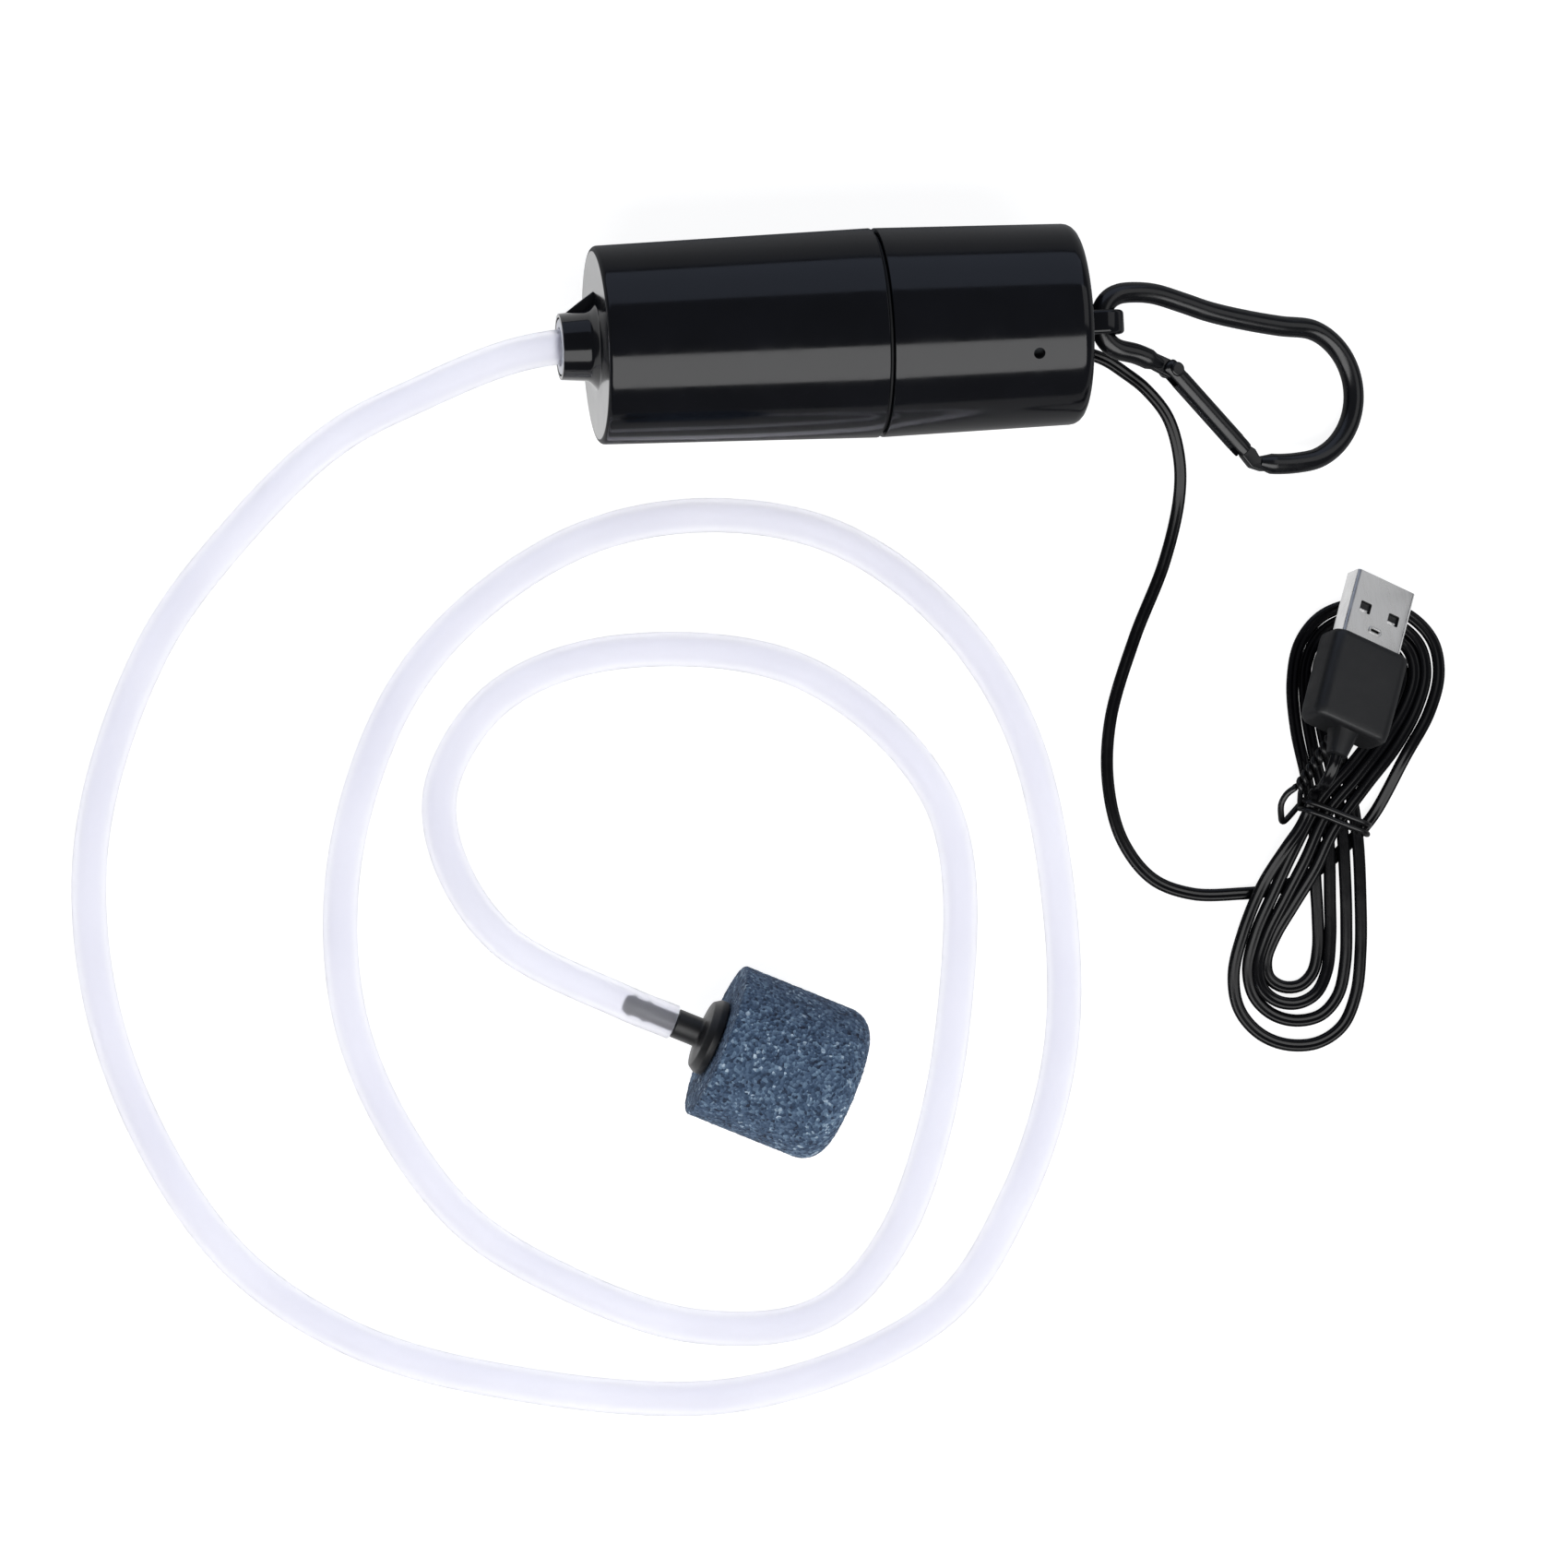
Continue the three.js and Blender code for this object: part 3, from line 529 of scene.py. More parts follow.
# ---- the hose: its route, on the surface the pump lies on ----
HOSE_POINTS = (
    [(-64.2, 4.5, 18), (-72, 4.5, 18)]
    + [(-81, 3, 18), (-95, -2, 15), (-110, -9, 9), (-127, -24, 4)]
    + [
        (x, y, HOSE_FLOOR_Z)
        for x, y in (
            (-143, -44), (-155, -77), (-153, -111), (-137, -145), (-117, -162),
            (-90, -172), (-47, -177), (-12, -165), (2, -147), (11, -124), (13, -100),
            (8, -66), (-4, -45), (-23, -30), (-45, -25), (-67, -28), (-88, -40),
            (-102, -56), (-112, -84), (-111, -113), (-96, -142), (-77, -156), (-54, -165),
            (-33, -164), (-19, -151), (-7, -115), (-7, -77), (-30, -53), (-64, -48),
            (-84, -55), (-94, -69),
        )
    ]
    + [(-94, -81, 5), (-86, -96, 10)]
)
stone_axis = Vector((math.cos(STONE_ANGLE), math.sin(STONE_ANGLE), 0))
hose_end = STONE_FACE - stone_axis * (FLANGE + STUB + 0.3)
HOSE_POINTS += [tuple(hose_end - stone_axis * NIPPLE), tuple(hose_end)]
hose_line = catmull(HOSE_POINTS, 1.6)


def hose_tube(line, outer, inner, sides=28):
    """A hollow tube, with its two end rims."""
    step = 2 * sides
    verts, faces = [], []
    for i, (point, (_, side, lift)) in enumerate(zip(line, frames_along(line, ALL_ALONG))):
        for radius in (outer, inner):
            for s, t in circle(radius, sides):
                verts.append(point + side * s + lift * t)
        if i:
            base = (i - 1) * step
            faces += band(base, base + step, sides)
            faces += [q[::-1] for q in band(base + sides, base + step + sides, sides)]
    for base, flip in ((0, False), ((len(line) - 1) * step, True)):
        for k in range(sides):
            m = (k + 1) % sides
            quad = [base + k, base + sides + k, base + sides + m, base + m]
            faces.append(quad[::-1] if flip else quad)
    return verts, faces


hose = piece("air_hose_tube", *hose_tube(hose_line, HOSE_R, HOSE_BORE), "hose_clear", "pump",
             replaces=["air_hose"])


# ---- the USB cord: free run, figure-eight hank and the last rise to the plug ----
STRAND = 2.6
MIDDLE_LANE = 1.5
# The first top lobe's reach and width, what each later lobe loses of them, and the bluntness.
TOP_REACH, TOP_WIDTH = 37.5, 10.9
TOP_REACH_LOSS, TOP_WIDTH_LOSS = 2.3, 0.9
TOP_BLUNT, LOWER_BLUNT = 0.2, 0.8
# Each lower loop, inner to outer: reach, width to the right, width to the left, lean.
LOWER_LOOPS = [
    (31.4, 5.2, 4.9, -0.5),
    (34.2, 6.2, 5.6, -0.3),
    (36.9, 7.8, 6.7, 1.1),
    (41.2, 9.3, 7.8, 1.4),
]
# Every other top lobe and the second lower loop lie on their neighbours, where they would meet.
LOBE_LIFT = 0.8
LOOP_LIFT = (0, 1.5, 0, 0)
LEAN = 3.4
WAIST_SHIFT = 1.9
Z_UNDER, Z_OVER = 2.5, 3.9
FIRST_ANGLE, END_ANGLE, ANGLE_STEP = -71, 1330, 14
RISE_R = 4.6
TOP_Z = 5.0


def hank_point(degrees):
    """Across, along and height of the hank's line at an angle round the figure of eight."""
    angle = math.radians(degrees)
    c, s = math.cos(angle), math.sin(angle)
    turn = (degrees + 90) / 360
    top, bottom = turn - 0.25, turn - 0.75
    share = min(1, max(0, (c + 0.3) / 0.6))
    share = share * share * (3 - 2 * share)
    long_top = TOP_REACH - TOP_REACH_LOSS * top
    wide_top = TOP_WIDTH - TOP_WIDTH_LOSS * top
    index = min(len(LOWER_LOOPS) - 1, max(0, round(bottom)))
    long_bottom, wide_right, wide_left, lower_lean = LOWER_LOOPS[index]
    wide_bottom = wide_right if math.sin(2 * angle) < 0 else wide_left
    reach = long_top * share + long_bottom * (1 - share)
    width_top = wide_top * (1 + TOP_BLUNT * c * c) / (1 + TOP_BLUNT / 2)
    width_bottom = wide_bottom * (1 + LOWER_BLUNT * c * c) / (1 + LOWER_BLUNT / 2)
    width = width_top * share + width_bottom * (1 - share)
    across = -width * math.sin(2 * angle)
    across += LEAN * c if c > 0 else lower_lean * c ** 4
    lane = turn - 0.25 * (1 + s)
    across -= (MIDDLE_LANE - lane) * STRAND * s * abs(s)
    crossing = abs(s) ** 4
    across += WAIST_SHIFT * crossing
    height = (Z_UNDER if s > 0 else Z_OVER) - CORD_Z
    if c > 0:
        lift = LOBE_LIFT * (1 + math.cos(math.pi * top)) / 2 * (1 - crossing)
    else:
        lift = LOOP_LIFT[index] * c ** 4
    return Vector((across, reach * c, CORD_Z + height * crossing + lift))


def tail_points():
    """Where the cord's rise turns over, and the arch from there down into the plug's boot."""
    mouth = plug_matrix @ PLUG_MOUTH
    out = (plug_matrix.to_3x3() @ Vector((0, -1, 0))).normalized()
    flat = Vector((out.x, out.y, 0)).normalized()
    rise = math.asin(out.z)
    centre = mouth + flat * RISE_R * math.sin(rise) - Vector((0, 0, RISE_R * math.cos(rise)))
    arch = []
    for turn in (90, 67.5, 45, 22.5, 0, -math.degrees(rise)):
        a = math.radians(turn)
        arch.append(centre + flat * RISE_R * math.sin(a) + Vector((0, 0, RISE_R * math.cos(a))))
    inside = mouth - out * 4
    return arch[0], arch + [inside]


foot, arch = tail_points()
foot_local = hank_matrix.inverted() @ foot
FREE_RUN = [
    (17.5, -0.1, 11.8), (19.98, -0.1, 11.8), (24, -1.5, 11.5), (28, -4, 10), (32, -7, 8),
    (36, -12, 6), (38, -19, 4), (38, -26, 2), (35, -37, CORD_Z), (29, -50, CORD_Z),
    (24, -64, CORD_Z), (23, -75, CORD_Z), (25, -85, CORD_Z), (30, -92, CORD_Z),
    (37, -95, CORD_Z), (45.5, -95.4, CORD_Z),
]
cord_points = [Vector(p) for p in FREE_RUN]
# It passes under both bundles, and climbs on their far side into the first lobe.
LEAD_IN = [
    (-6.9, -15.6, CORD_Z), (-2.4, -13.2, CORD_Z), (2.2, -9.4, CORD_Z), (6.0, -4.4, CORD_Z),
    (9.3, 1.2, CORD_Z),
]
cord_points += [hank_matrix @ Vector(p) for p in LEAD_IN]
for degrees in range(FIRST_ANGLE, END_ANGLE, ANGLE_STEP):
    cord_points.append(hank_matrix @ hank_point(degrees))
# The run from the waist over the lower loops, and the bend up to the arch.
LAST = [
    (foot_local.x - 2.6, -7.5, 4.9),
    (foot_local.x - 1.0, foot_local.y - RISE_R - 2.8, TOP_Z),
    (foot_local.x - 0.2, foot_local.y - RISE_R + 0.1, TOP_Z + 0.1),
]
for turn in (30, 60):
    a = math.radians(turn)
    LAST.append(
        (foot_local.x, foot_local.y - RISE_R + RISE_R * math.sin(a),
         TOP_Z + 0.1 + RISE_R * (1 - math.cos(a)))
    )
cord_points += [hank_matrix @ Vector(p) for p in LAST]
before_rise = len(cord_points) - 3  # the last point that the cord passes lying flat
cord_points += arch
cord_line = catmull(cord_points, 0.8)
rise_at = min(
    range(len(cord_line)), key=lambda i: (cord_line[i] - cord_points[before_rise]).length
)


def twin_section(sides=9):
    """Two round cores side by side, joined by a thin web."""
    radius = CORD_THICK / 2
    offset = CORD_WIDE / 2 - radius
    out = []
    for sign in (1, -1):
        for k in range(sides):
            a = math.radians(-128 + 256 * k / (sides - 1))
            out.append((sign * (offset + radius * math.cos(a)), sign * radius * math.sin(a)))
    return out


cord = piece(
    "usb_cord_line",
    *sweep(cord_line, twin_section(), frames_along(cord_line, upright_until=rise_at)),
    "cord_black",
    "pump",
    replaces=["usb_cord", "usb_cord_hank", "usb_cord_tail"],
    sharp=70,
)


# ---- shells of the pump ----
face_outline = rounded(
    [
        (-COLLAR, 5.05), (-COLLAR, COLLAR_R - 0.15, 0.12), (-1.4, COLLAR_R + 0.25, 1.5),
        (0, 7.6, 0.9), (0, 16.1), (0.98, 16.1), (0.98, 9.9), (2, 9.9), (2, 3.35), (-4, 3.35),
        (-4, 5.05),
    ]
)
face = piece("front_shell_face", *lathe(densified(face_outline)), "gloss_black", "pump",
             replaces=["front_shell"], matrix=pump_matrix)
wall_outline = rounded(
    [
        (0, 16.1), (0, R_FRONT, 0.9), (SEAM, R_SEAM, 0.18), (SEAM, 16.2), (2, R_FRONT - 1.8),
        (2, 10), (1, 10), (1, 16.1),
    ]
)
piece("front_shell_wall", *lathe(densified(wall_outline)), "gloss_black", "pump",
      matrix=pump_matrix)
gusset_outline = rounded(
    [(-4.9, 4.9), (-4.9, 5.75, 0.2), (-2.6, 7.4, 1.2), (0.6, 9.6, 0.2), (0.6, 4.9)]
)
piece("collar_gusset", *slab(gusset_outline, 0.8, 0.25), "gloss_black", "pump",
      matrix=pump_matrix)

rear_outline = rounded(
    [
        (LENGTH - 2, 0), (LENGTH - 2, 14.3, 0.8), (LENGTH - 3.2, 15.5, 0.5),
        (REAR_START + 0.6, 15.9), (REAR_START - 0.2, 14.7), (SEAM - 3.7, 14.7),
        (SEAM - 3.7, 15.7), (REAR_START, 15.7), (REAR_START, R_SEAM - 0.02, 0.18),
        (LENGTH, R_REAR, 2.3), (LENGTH, 0),
    ]
)
rear = piece("rear_shell_skin", *lathe(densified(rear_outline, 2.0)), "gloss_black", "pump",
             replaces=["rear_shell"], matrix=pump_matrix)
intake = lathe([(10, 0), (10, 1), (22, 1), (22, 0)], 32, closed=False)
intake_matrix = (
    pump_matrix
    @ Matrix.Translation((74, 0, 0))
    @ Matrix.Rotation(math.radians(18.5), 4, "X")
    @ Matrix.Rotation(math.radians(-90), 4, "Y")
)
cord_hole = lathe([(-6, 0), (-6, 2.3), (6, 2.3), (6, 0)], 32, closed=False)
hole_matrix = pump_matrix @ Matrix.Translation((LENGTH, *GROMMET))
slot_outline = [(-4, -3.5), (2, -3.5), (2, 3.5), (-4, 3.5)]
slot_cut = slab(slot_outline, 2.4, 0.05)
slot_matrix = pump_matrix @ Matrix.Translation((LENGTH, 0, 0)) @ Matrix.Rotation(
    math.radians(90), 4, "X"
)
carve(rear, (*intake, intake_matrix), (*cord_hole, hole_matrix), (*slot_cut, slot_matrix))

gasket_outline = rounded(
    [
        (SEAM + 0.15, 16.0), (SEAM + 0.15, 17.25, 0.2), (SEAM + 0.65, 17.25, 0.2),
        (SEAM + 0.65, 16.0),
    ]
)
piece("seam_gasket_ring", *lathe(gasket_outline), "rubber_black", "pump",
      replaces=["seam_gasket"], matrix=pump_matrix)
# The ring at the collar's tip is coloured light grey: a painted reflection of the light that this
# face catches.
ring_outline = rounded(
    [(-COLLAR, 3.35, 0.2), (-COLLAR, 4.8, 0.25), (-4.2, 4.8), (-4.2, 3.35)]
)
outlet = piece("outlet_ring_face", *lathe(ring_outline, 72), "ring_grey", "pump",
               replaces=["outlet_ring"], matrix=pump_matrix)

# ---- the eye and the spring clip ----
EYE_X, EYE_R, EYE_HOLE_R = LENGTH + 4, 4.1, 2.75
CLIP_BEND_R = 5
CLIP_END, CLIP_END_R = (38.4, -13.4), 11.9


def arc(centre, radius, degrees):
    turns = [math.radians(d) for d in degrees]
    return [
        (centre[0] + radius * math.cos(a), centre[1] + radius * math.sin(a)) for a in turns
    ]


eye_outline = [
    (LENGTH - 2.5, -3.2), *arc((EYE_X, 0), EYE_R, range(-110, 111, 10)), (LENGTH - 2.5, 3.2),
]
eye_hole = arc((EYE_X, 0), EYE_HOLE_R, range(0, 360, 10))
eye_matrix = pump_matrix @ Matrix.Rotation(math.radians(90), 4, "X")
piece("clip_eye", *slab(eye_outline, 2.1, 0.7, [eye_hole]), "gloss_black", "pump",
      replaces=["hanging_eye"], matrix=eye_matrix)

GATE_PIVOT = Vector((13.7, -8.5, 0))
NOSE = Vector((28, -23.6, 0))
TAIL = math.radians(-25)
ROD_R, GATE_R = 1.8, 1.75
clip_points = [
    (GATE_PIVOT.x - 2.2 * math.cos(TAIL), GATE_PIVOT.y - 2.2 * math.sin(TAIL), 0),
    (7, -5.6, 0),
]
clip_points += [
    (x, y, 0)
    for x, y in [
        *arc((CLIP_BEND_R, 0), CLIP_BEND_R, (245, 221, 197, 180, 149, 125, 101)),
        (7.6, 5.1), (11.2, 4.7), (16.6, 3.1), (21.9, 1.4), (29, -0.2), (36, -1.4),
        *arc(CLIP_END, CLIP_END_R, range(70, -91, -20)),
        (33.4, -25.4), (30.4, -25.0),
    ]
]
clip_line = catmull(clip_points, 0.7)
clip_widths = []
for i in range(len(clip_line)):
    left = len(clip_line) - 1 - i
    clip_widths.append(min(1.0, 0.55 + 0.45 * min(1, i / 4), 0.6 + 0.4 * min(1, left / 4)))
clip_sweep = sweep(clip_line, circle(ROD_R, 28), frames_along(clip_line, ALL_ALONG), clip_widths)
piece("clip_rod", *clip_sweep, "clip_black", "clip", replaces=["clip_body"],
      matrix=clip_matrix, sharp=50)
tongue = rounded(
    [
        (-4.6, -1.35), (0, -1.5, 0.8), (1.5, -0.4, 0.7), (1.5, 0.4, 0.7), (0, 1.5, 0.8),
        (-4.6, 1.35),
    ]
)
tongue_matrix = clip_matrix @ Matrix.Translation(GATE_PIVOT) @ Matrix.Rotation(TAIL, 4, "Z")
piece("clip_tongue", *slab(tongue, 0.75, 0.2), "clip_black", "clip", matrix=tongue_matrix)
nose_outline = rounded(
    [
        (33.6, -26.6, 0.4), (30.6, -26.6, 1.0), (28.4, -25.9, 1.0), (26.6, -23.7, 0.5),
        (27.5, -21.6, 0.5), (29.4, -22.7, 0.5), (30.2, -24.1, 0.6), (33.6, -24.2, 0.4),
    ]
)
piece("clip_nose", *slab(nose_outline, 0.8, 0.25), "clip_black", "clip", matrix=clip_matrix)

gate_axis = NOSE - GATE_PIVOT
gate_angle = math.atan2(gate_axis.y, gate_axis.x)
gate_length = gate_axis.length - 0.8
gate_matrix = clip_matrix @ Matrix.Translation(GATE_PIVOT) @ Matrix.Rotation(gate_angle, 4, "Z")
gate_line = [Vector((x, 0, 0)) for x in (-1.7, -1.5, -1.2, -0.8)]
gate_line += [Vector((x * 0.5, 0, 0)) for x in range(0, int(gate_length * 2))]
gate_line += [Vector((gate_length - 0.2, 0, 0)), Vector((gate_length, 0, 0))]
gate_widths = [0.7, 0.85, 0.95, 1.0] + [1.0] * (len(gate_line) - 6) + [0.97, 0.85]
gate_sweep = sweep(gate_line, circle(GATE_R, 28), frames_along(gate_line, ALL_ALONG), gate_widths)
gate = piece("clip_gate_bar", *gate_sweep, "clip_black", "gate", replaces=["clip_gate"],
             matrix=gate_matrix, sharp=50)
gate_slots = []
for start, end in ((-3, 2.4), (gate_length - 2.4, gate_length + 3)):
    slot = slab([(start, -3), (end, -3), (end, 3), (start, 3)], 1.05, 0.02)
    gate_slots.append((*slot, gate_matrix))
carve(gate, *gate_slots)
rivet_outline = rounded(
    [(-2.6, 0), (-2.6, 1.1, 0.35), (-2.05, 1.45, 0.2), (-2.05, 0.65), (2.05, 0.65),
     (2.05, 1.45, 0.2), (2.6, 1.1, 0.35), (2.6, 0)]
)
rivet_matrix = clip_matrix @ Matrix.Translation(GATE_PIVOT) @ Matrix.Rotation(
    math.radians(-90), 4, "Y"
)
piece("clip_rivet_pin", *lathe(rivet_outline, 32, closed=False), "clip_black", "clip",
      replaces=["clip_rivet"], matrix=rivet_matrix)

# ---- the air stone ----
STONE_BORE, SMOOTH_R, GRAIN = 2.2, 2.6, 0.14
stone_outline = rounded(
    [
        (STONE_LENGTH - 6, 0), (STONE_LENGTH - 6, STONE_BORE), (0, STONE_BORE),
        (0, STONE_R, 0.45), (STONE_LENGTH, STONE_R, 4.6), (STONE_LENGTH, 0),
    ],
    12,
)
stone_verts, stone_faces = lathe(densified(stone_outline, 0.4), 210, closed=False)


def gritty(v):
    """Pushes a point of the stone out or in by a grain's height, but not at its bore."""
    p = Vector(v)
    if math.hypot(p.y, p.z) < SMOOTH_R:
        return p
    away = Vector((0, p.y, p.z)).normalized()
    if p.x < 0.3:
        away = Vector((-1, 0, 0))
    elif p.x > STONE_LENGTH - 0.3:
        away = Vector((1, 0, 0))
    height = noise.noise(p * 1.9) * 0.6 + noise.noise(p * 4.1 + Vector((7, 3, 5))) * 0.7
    return p + away * height * GRAIN


stone = piece("air_stone_body", [gritty(v) for v in stone_verts], stone_faces, "stone_blue",
              "pump", replaces=["air_stone"], matrix=stone_matrix, sharp=180)
stub_end = -FLANGE - STUB
nipple_outline = rounded(
    [
        (stub_end - NIPPLE, 0.9), (stub_end - NIPPLE, 1.3, 0.1),
        (stub_end - NIPPLE + 1.4, 1.95, 0.1), (stub_end - NIPPLE + 1.9, 1.6, 0.1),
        (stub_end - 6, 1.6, 0.1), (stub_end - 5.4, 1.95, 0.1), (stub_end - 4.6, 1.6, 0.1),
        (stub_end, 1.6, 0.1), (stub_end, 2.55, 0.2), (-FLANGE, 2.55, 0.5),
        (-FLANGE + 0.5, 5.9, 0.5), (-1.5, 6.7, 0.5), (-0.3, 6.7, 0.1), (-0.3, 1.8),
        (14, 1.8), (14, 0.9),
    ]
)
nipple = piece("stone_nipple_barb", *lathe(densified(nipple_outline, 2.0), 64), "matte_black",
               "pump", replaces=["stone_nipple"], matrix=stone_matrix)

# ---- the USB plug ----
SHELL_W, SHELL_H, SHELL_L, SHELL_WALL = 12.0, 4.5, 12.0, 0.4
WINDOW_X, CRIMP_Y = 2.9, -9.6


def rectangle(width, height, radius, steps=4):
    return rounded(
        [
            (-width / 2, -height / 2, radius), (width / 2, -height / 2, radius),
            (width / 2, height / 2, radius), (-width / 2, height / 2, radius),
        ],
        steps,
    )


def tube_section(outer, inner, y_from, y_to, lip=0.1):
    """A hollow bar along Y with softened rims, from two outlines of equal count."""
    levels = [
        (outer, y_from, 1.0), (outer, y_to + lip, 1.0), (outer, y_to, 0.985),
        (inner, y_to, 1.012), (inner, y_to + lip, 1.0), (inner, y_from, 1.0),
    ]
    verts, faces = [], []
    count = len(outer)
    for loop, y, grow in levels:
        verts += [(x * grow, y, z * grow) for x, z in loop]
    for i in range(len(levels)):
        faces += band(i * count, (i + 1) % len(levels) * count, count)
    return verts, faces


shell = piece(
    "usb_shell",
    *tube_section(
        rectangle(SHELL_W, SHELL_H, 0.7),
        rectangle(SHELL_W - 2 * SHELL_WALL, SHELL_H - 2 * SHELL_WALL, 0.35),
        -SHELL_L - 1.4, 0.0,
    ),
    "nickel", "pump", replaces=["plug_shell"], matrix=plug_matrix, sharp=30,
)
window = slab(rectangle(2.2, 2.0, 0.25), 0.9, 0.02)
cutters = []
for side in (-1, 1):
    for way in (-1, 1):
        place = Matrix.Translation((side * WINDOW_X, -6.2, way * SHELL_H / 2))
        cutters.append((*window, plug_matrix @ place))
dimple = slab(rectangle(1.7, 0.5, 0.22), 0.5, 0.02)
cutters.append((*dimple, plug_matrix @ Matrix.Translation((0, CRIMP_Y, SHELL_H / 2))))
carve(shell, *cutters)
# Sprung latch tabs seen in the windows, and the raised rim round the middle crimp.
for i, (side, way) in enumerate(((-1, 1), (1, 1), (-1, -1), (1, -1))):
    tab = slab(rectangle(1.7, 0.7, 0.2), 0.16, 0.05)
    tab_matrix = (
        plug_matrix
        @ Matrix.Translation((side * WINDOW_X, -6.75, way * (SHELL_H / 2 - 0.75)))
        @ Matrix.Rotation(math.radians(way * 20), 4, "X")
    )
    piece(f"usb_latch_{i + 1}", *tab, "nickel", "pump", matrix=tab_matrix)
rim_outline = rectangle(2.6, 1.25, 0.5)
rim_hole = rectangle(1.9, 0.62, 0.28)
piece("usb_crimp_rim", *slab(rim_outline, 0.13, 0.08, [rim_hole]), "nickel", "pump",
      matrix=plug_matrix @ Matrix.Translation((0, CRIMP_Y, SHELL_H / 2 + 0.03)))

GRIP_W, GRIP_H, GRIP_L = 15.4, 7.8, 16.5


def grip_mesh():
    """The overmoulded grip: a soft box, narrowed at both ends, with the boot behind it."""
    # Each station: how far behind the shell, width and height shares. The boot: radius and place.
    stations = [
        (0.15, 0.955, 0.90), (0.5, 0.99, 0.965), (1.2, 1.0, 1.0), (5, 1.0, 1.0), (10, 1.0, 1.0),
        (14.6, 0.99, 0.985), (15.9, 0.965, 0.95), (16.4, 0.91, 0.88), (16.5, 0.80, 0.74),
    ]
    boot = [(2.75, -0.1), (2.55, -0.8), (2.35, -2.0), (2.05, -3.4), (1.8, -4.5), (1.25, -4.6)]
    outline = rectangle(GRIP_W, GRIP_H, 2.1, 7)
    count = len(outline)
    rows = len(stations) + len(boot)
    verts, faces = [], []
    for back, sx, sz in stations:
        verts += [(x * sx, -SHELL_L - back, z * sz) for x, z in outline]
    for radius, y in boot:
        for x, z in outline:
            a = math.atan2(z / GRIP_H, x / GRIP_W)
            verts.append((radius * math.cos(a), -SHELL_L - GRIP_L + y, radius * math.sin(a)))
    for i in range(rows - 1):
        faces += band(i * count, (i + 1) * count, count)
    faces.append(list(range(count))[::-1])
    faces.append(list(range((rows - 1) * count, rows * count)))
    return verts, faces


piece("usb_grip", *grip_mesh(), "matte_black", "pump", replaces=["plug_grip"],
      matrix=plug_matrix, sharp=50)
piece("usb_tongue", *slab(rectangle(10.6, 11.6, 0.4), 0.9, 0.12), "matte_black", "pump",
      replaces=["plug_tongue"], matrix=plug_matrix @ Matrix.Translation((0, -7.4, 0.7)))
CONTACTS, CONTACT_PITCH = 4, 2.2
for i in range(CONTACTS):
    contact_x = (i - (CONTACTS - 1) / 2) * CONTACT_PITCH
    piece(f"usb_contact_{i + 1}", *slab(rectangle(1.0, 7.6, 0.25), 0.15, 0.05), "brass",
          "pump", replaces=[f"plug_contact_{i + 1}"],
          matrix=plug_matrix @ Matrix.Translation((contact_x, -6.2, -0.65)))

# ---- the grommet ----
grommet_outline = rounded(
    [
        (79.4, 1.25), (79.4, 2.9, 0.2), (81.7, 2.9, 0.2), (81.7, 2.0), (84.25, 2.0),
        (84.25, 2.7, 0.2), (84.9, 2.5, 0.2), (85.4, 1.9, 0.2), (85.4, 1.25),
    ]
)
piece("cord_grommet_ring", *lathe(grommet_outline, 48), "rubber_black", "pump",
      replaces=["cord_grommet"], matrix=pump_matrix @ Matrix.Translation((0, *GROMMET)))

# ---- the twist tie: twisted ends, two wraps round the waist and a loose loop ----
WRAP_LOW, WRAP_HIGH, WRAP_HALF = 0.75, 6.9, 6.2
KNOT, TWIST_END = (-5.9, 2.6, 6.0), (-2.4, 12.4, 8.2)


def wrap(shift, lean, points=28):
    """One turn round the waist, drifting along the hank as it goes."""
    out = []
    for k in range(points + 1):
        a = math.radians(200 - 360 * k / points)
        x, z = math.cos(a), math.sin(a)
        square = (abs(x) ** 3 + abs(z) ** 3) ** (-1 / 3)
        out.append(
            (
                WAIST_SHIFT + WRAP_HALF * x * square,
                shift + lean * x + 1.0 * (k / points - 0.5),
                (WRAP_LOW + WRAP_HIGH) / 2 + (WRAP_HIGH - WRAP_LOW) / 2 * z * square,
            )
        )
    return out


def twisted(start, end, phase, turns=3.5, radius=0.62, per_turn=10):
    """One wire of a twisted pair between two points."""
    start, end = Vector(start), Vector(end)
    axis = (end - start).normalized()
    side = axis.cross(Vector((0, 0, 1))).normalized()
    lift = side.cross(axis)
    out = []
    count = int(turns * per_turn)
    for k in range(count + 1):
        t = k / count
        a = phase + 2 * math.pi * turns * t
        out.append(start.lerp(end, t) + (side * math.cos(a) + lift * math.sin(a)) * radius)
    return [tuple(p) for p in out]


tie_points = (
    twisted(TWIST_END, KNOT, 0.0)
    + wrap(-1.2, -1.3)[1:]
    + wrap(0.3, -1.3)[1:-2]
    + [(-6.6, -3.2, 2.4), (-7.4, -2.2, 3.6), (-8.0, -0.2, 4.8), (-7.5, 1.6, 5.6)]
    + twisted(KNOT, TWIST_END, math.pi)
)
tie_line = catmull([hank_matrix @ Vector(p) for p in tie_points], 0.4)
tie_section = [(s * 0.58, t * 0.5) for s, t in circle(1.0, 12)]
piece("twist_tie_wire", *sweep(tie_line, tie_section, frames_along(tie_line)),
      "tie_black", "pump", replaces=["twist_tie"], sharp=70)

# ---- carried-over CAD nodes get the finished materials ----
for part in frame["record"]["subparts"]:
    surface = nodes[part["node"]].data.materials
    surface.clear()
    surface.append(LOOKS[part["material_slot"]])


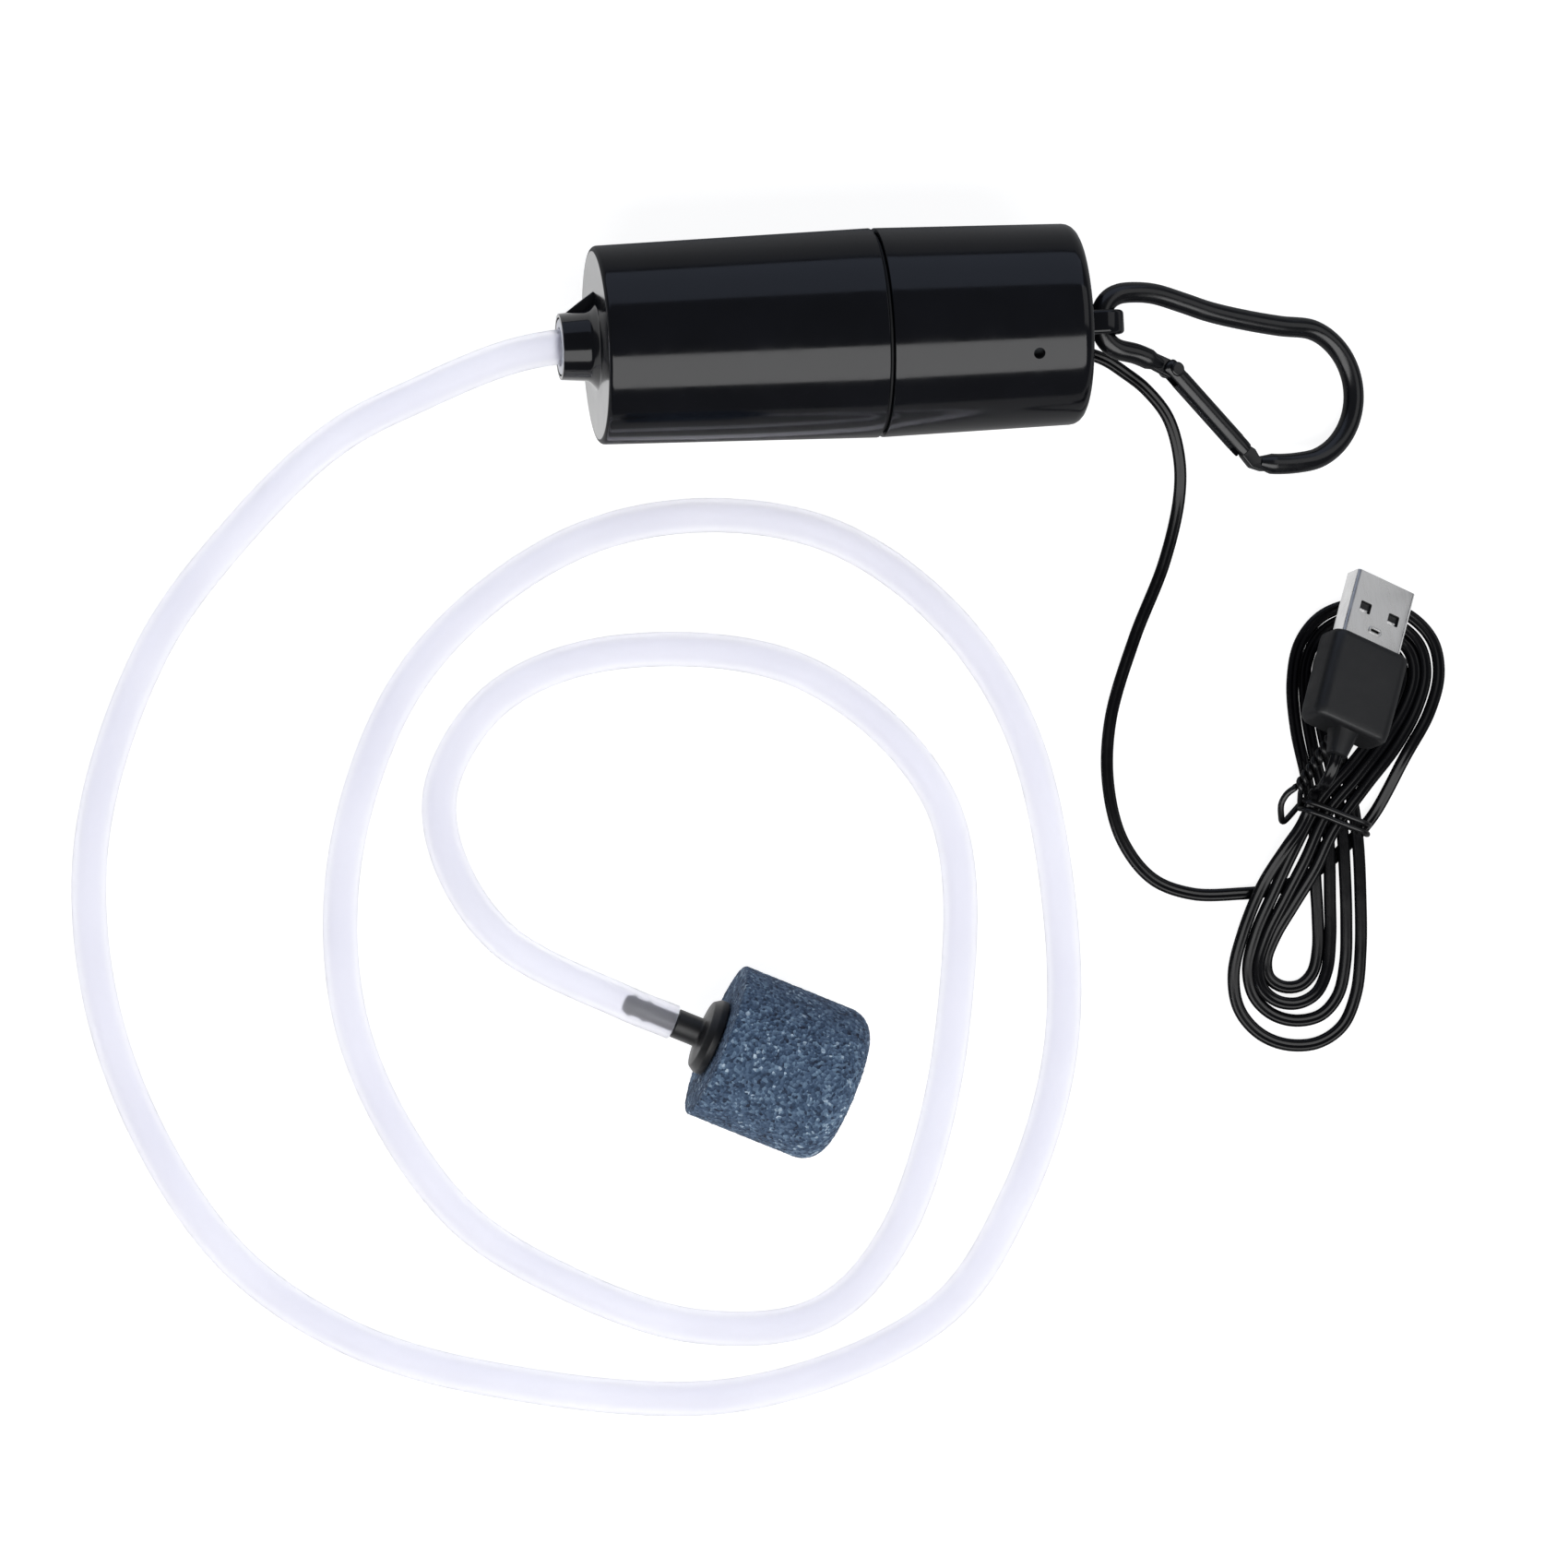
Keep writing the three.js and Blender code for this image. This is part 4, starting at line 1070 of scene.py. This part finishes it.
# ---- floor, lights and world ----
FLOOR_HALF, FLOOR_DROP = 1.6, 0.0001
floor_mesh = bpy.data.meshes.new("floor")
floor_mesh.from_pydata(
    [(x * FLOOR_HALF, y * FLOOR_HALF, 0) for x, y in ((-1, -1), (1, -1), (1, 1), (-1, 1))],
    [],
    [(0, 1, 2, 3)],
)
floor = bpy.data.objects.new("floor", floor_mesh)
bpy.context.scene.collection.objects.link(floor)
floor.location.z = -FLOOR_DROP
fn = Nodes("floor_white")
mottle = fn.ramp(fn.noise(3), (0.3, srgb(160, 160, 160)), (0.7, srgb(163, 163, 163)))
fn.link(mottle, "Base Color")
fn.set(Roughness=0.9, Specular_IOR_Level=0.1, Emission_Color=(1, 1, 1, 1), Emission_Strength=0.88)
floor_mesh.materials.append(fn.material)
# The floor's own glow lights these pieces only. The others take the light that it reflects.
glow = bpy.data.collections.new("floor_glow")
for thing in (hose, stone, nipple, shell, outlet, face, floor):
    glow.objects.link(thing)
floor.light_linking.receiver_collection = glow


def area_light(name, target, direction, distance, width, height, power, colour=(1, 1, 1)):
    """A rectangular light that faces the target, from the given direction and distance."""
    light = bpy.data.lights.new(name, "AREA")
    light.shape = "RECTANGLE"
    light.size, light.size_y = width, height
    light.energy = power
    light.color = colour
    thing = bpy.data.objects.new(name, light)
    bpy.context.scene.collection.objects.link(thing)
    away = Vector(direction).normalized()
    level = Vector((1, 0, 0))
    second = away.cross(level).normalized()
    thing.matrix_world = Matrix.Translation(Vector(target) + away * distance) @ Matrix(
        (
            (level.x, second.x, away.x, 0),
            (level.y, second.y, away.y, 0),
            (level.z, second.z, away.z, 0),
            (0, 0, 0, 1),
        )
    )


def tilted(degrees):
    """A direction that many degrees from vertical, positive towards -Y."""
    a = math.radians(degrees)
    return (0, -math.sin(a), math.cos(a))


PUMP_AT = (-0.025, 0.0045, 0.018)
area_light("softbox_front", PUMP_AT, tilted(36), 0.9, 1.5, 0.62, 9)
# Three back lights of one centre and growing height make a band that fades at its edges.
BACK_POWER, BACK_BLUE = 3.3, (0.66, 0.76, 1.0)
for i, height in enumerate((0.25, 0.5, 0.8)):
    area_light(f"softbox_back_{i + 1}", PUMP_AT, tilted(-66), 1.0, 1.8, height,
               BACK_POWER * height, BACK_BLUE)
area_light("softbox_right", (0.07, -0.055, 0.01), (0.726, 0.303, 0.617), 1.0, 0.7, 0.7, 1.1)
world = bpy.data.worlds.new("world")
bpy.context.scene.world = world
world.use_nodes = True
background = world.node_tree.nodes["Background"]
background.inputs["Color"].default_value = (0.9, 0.93, 1.0, 1)
background.inputs["Strength"].default_value = 0.12
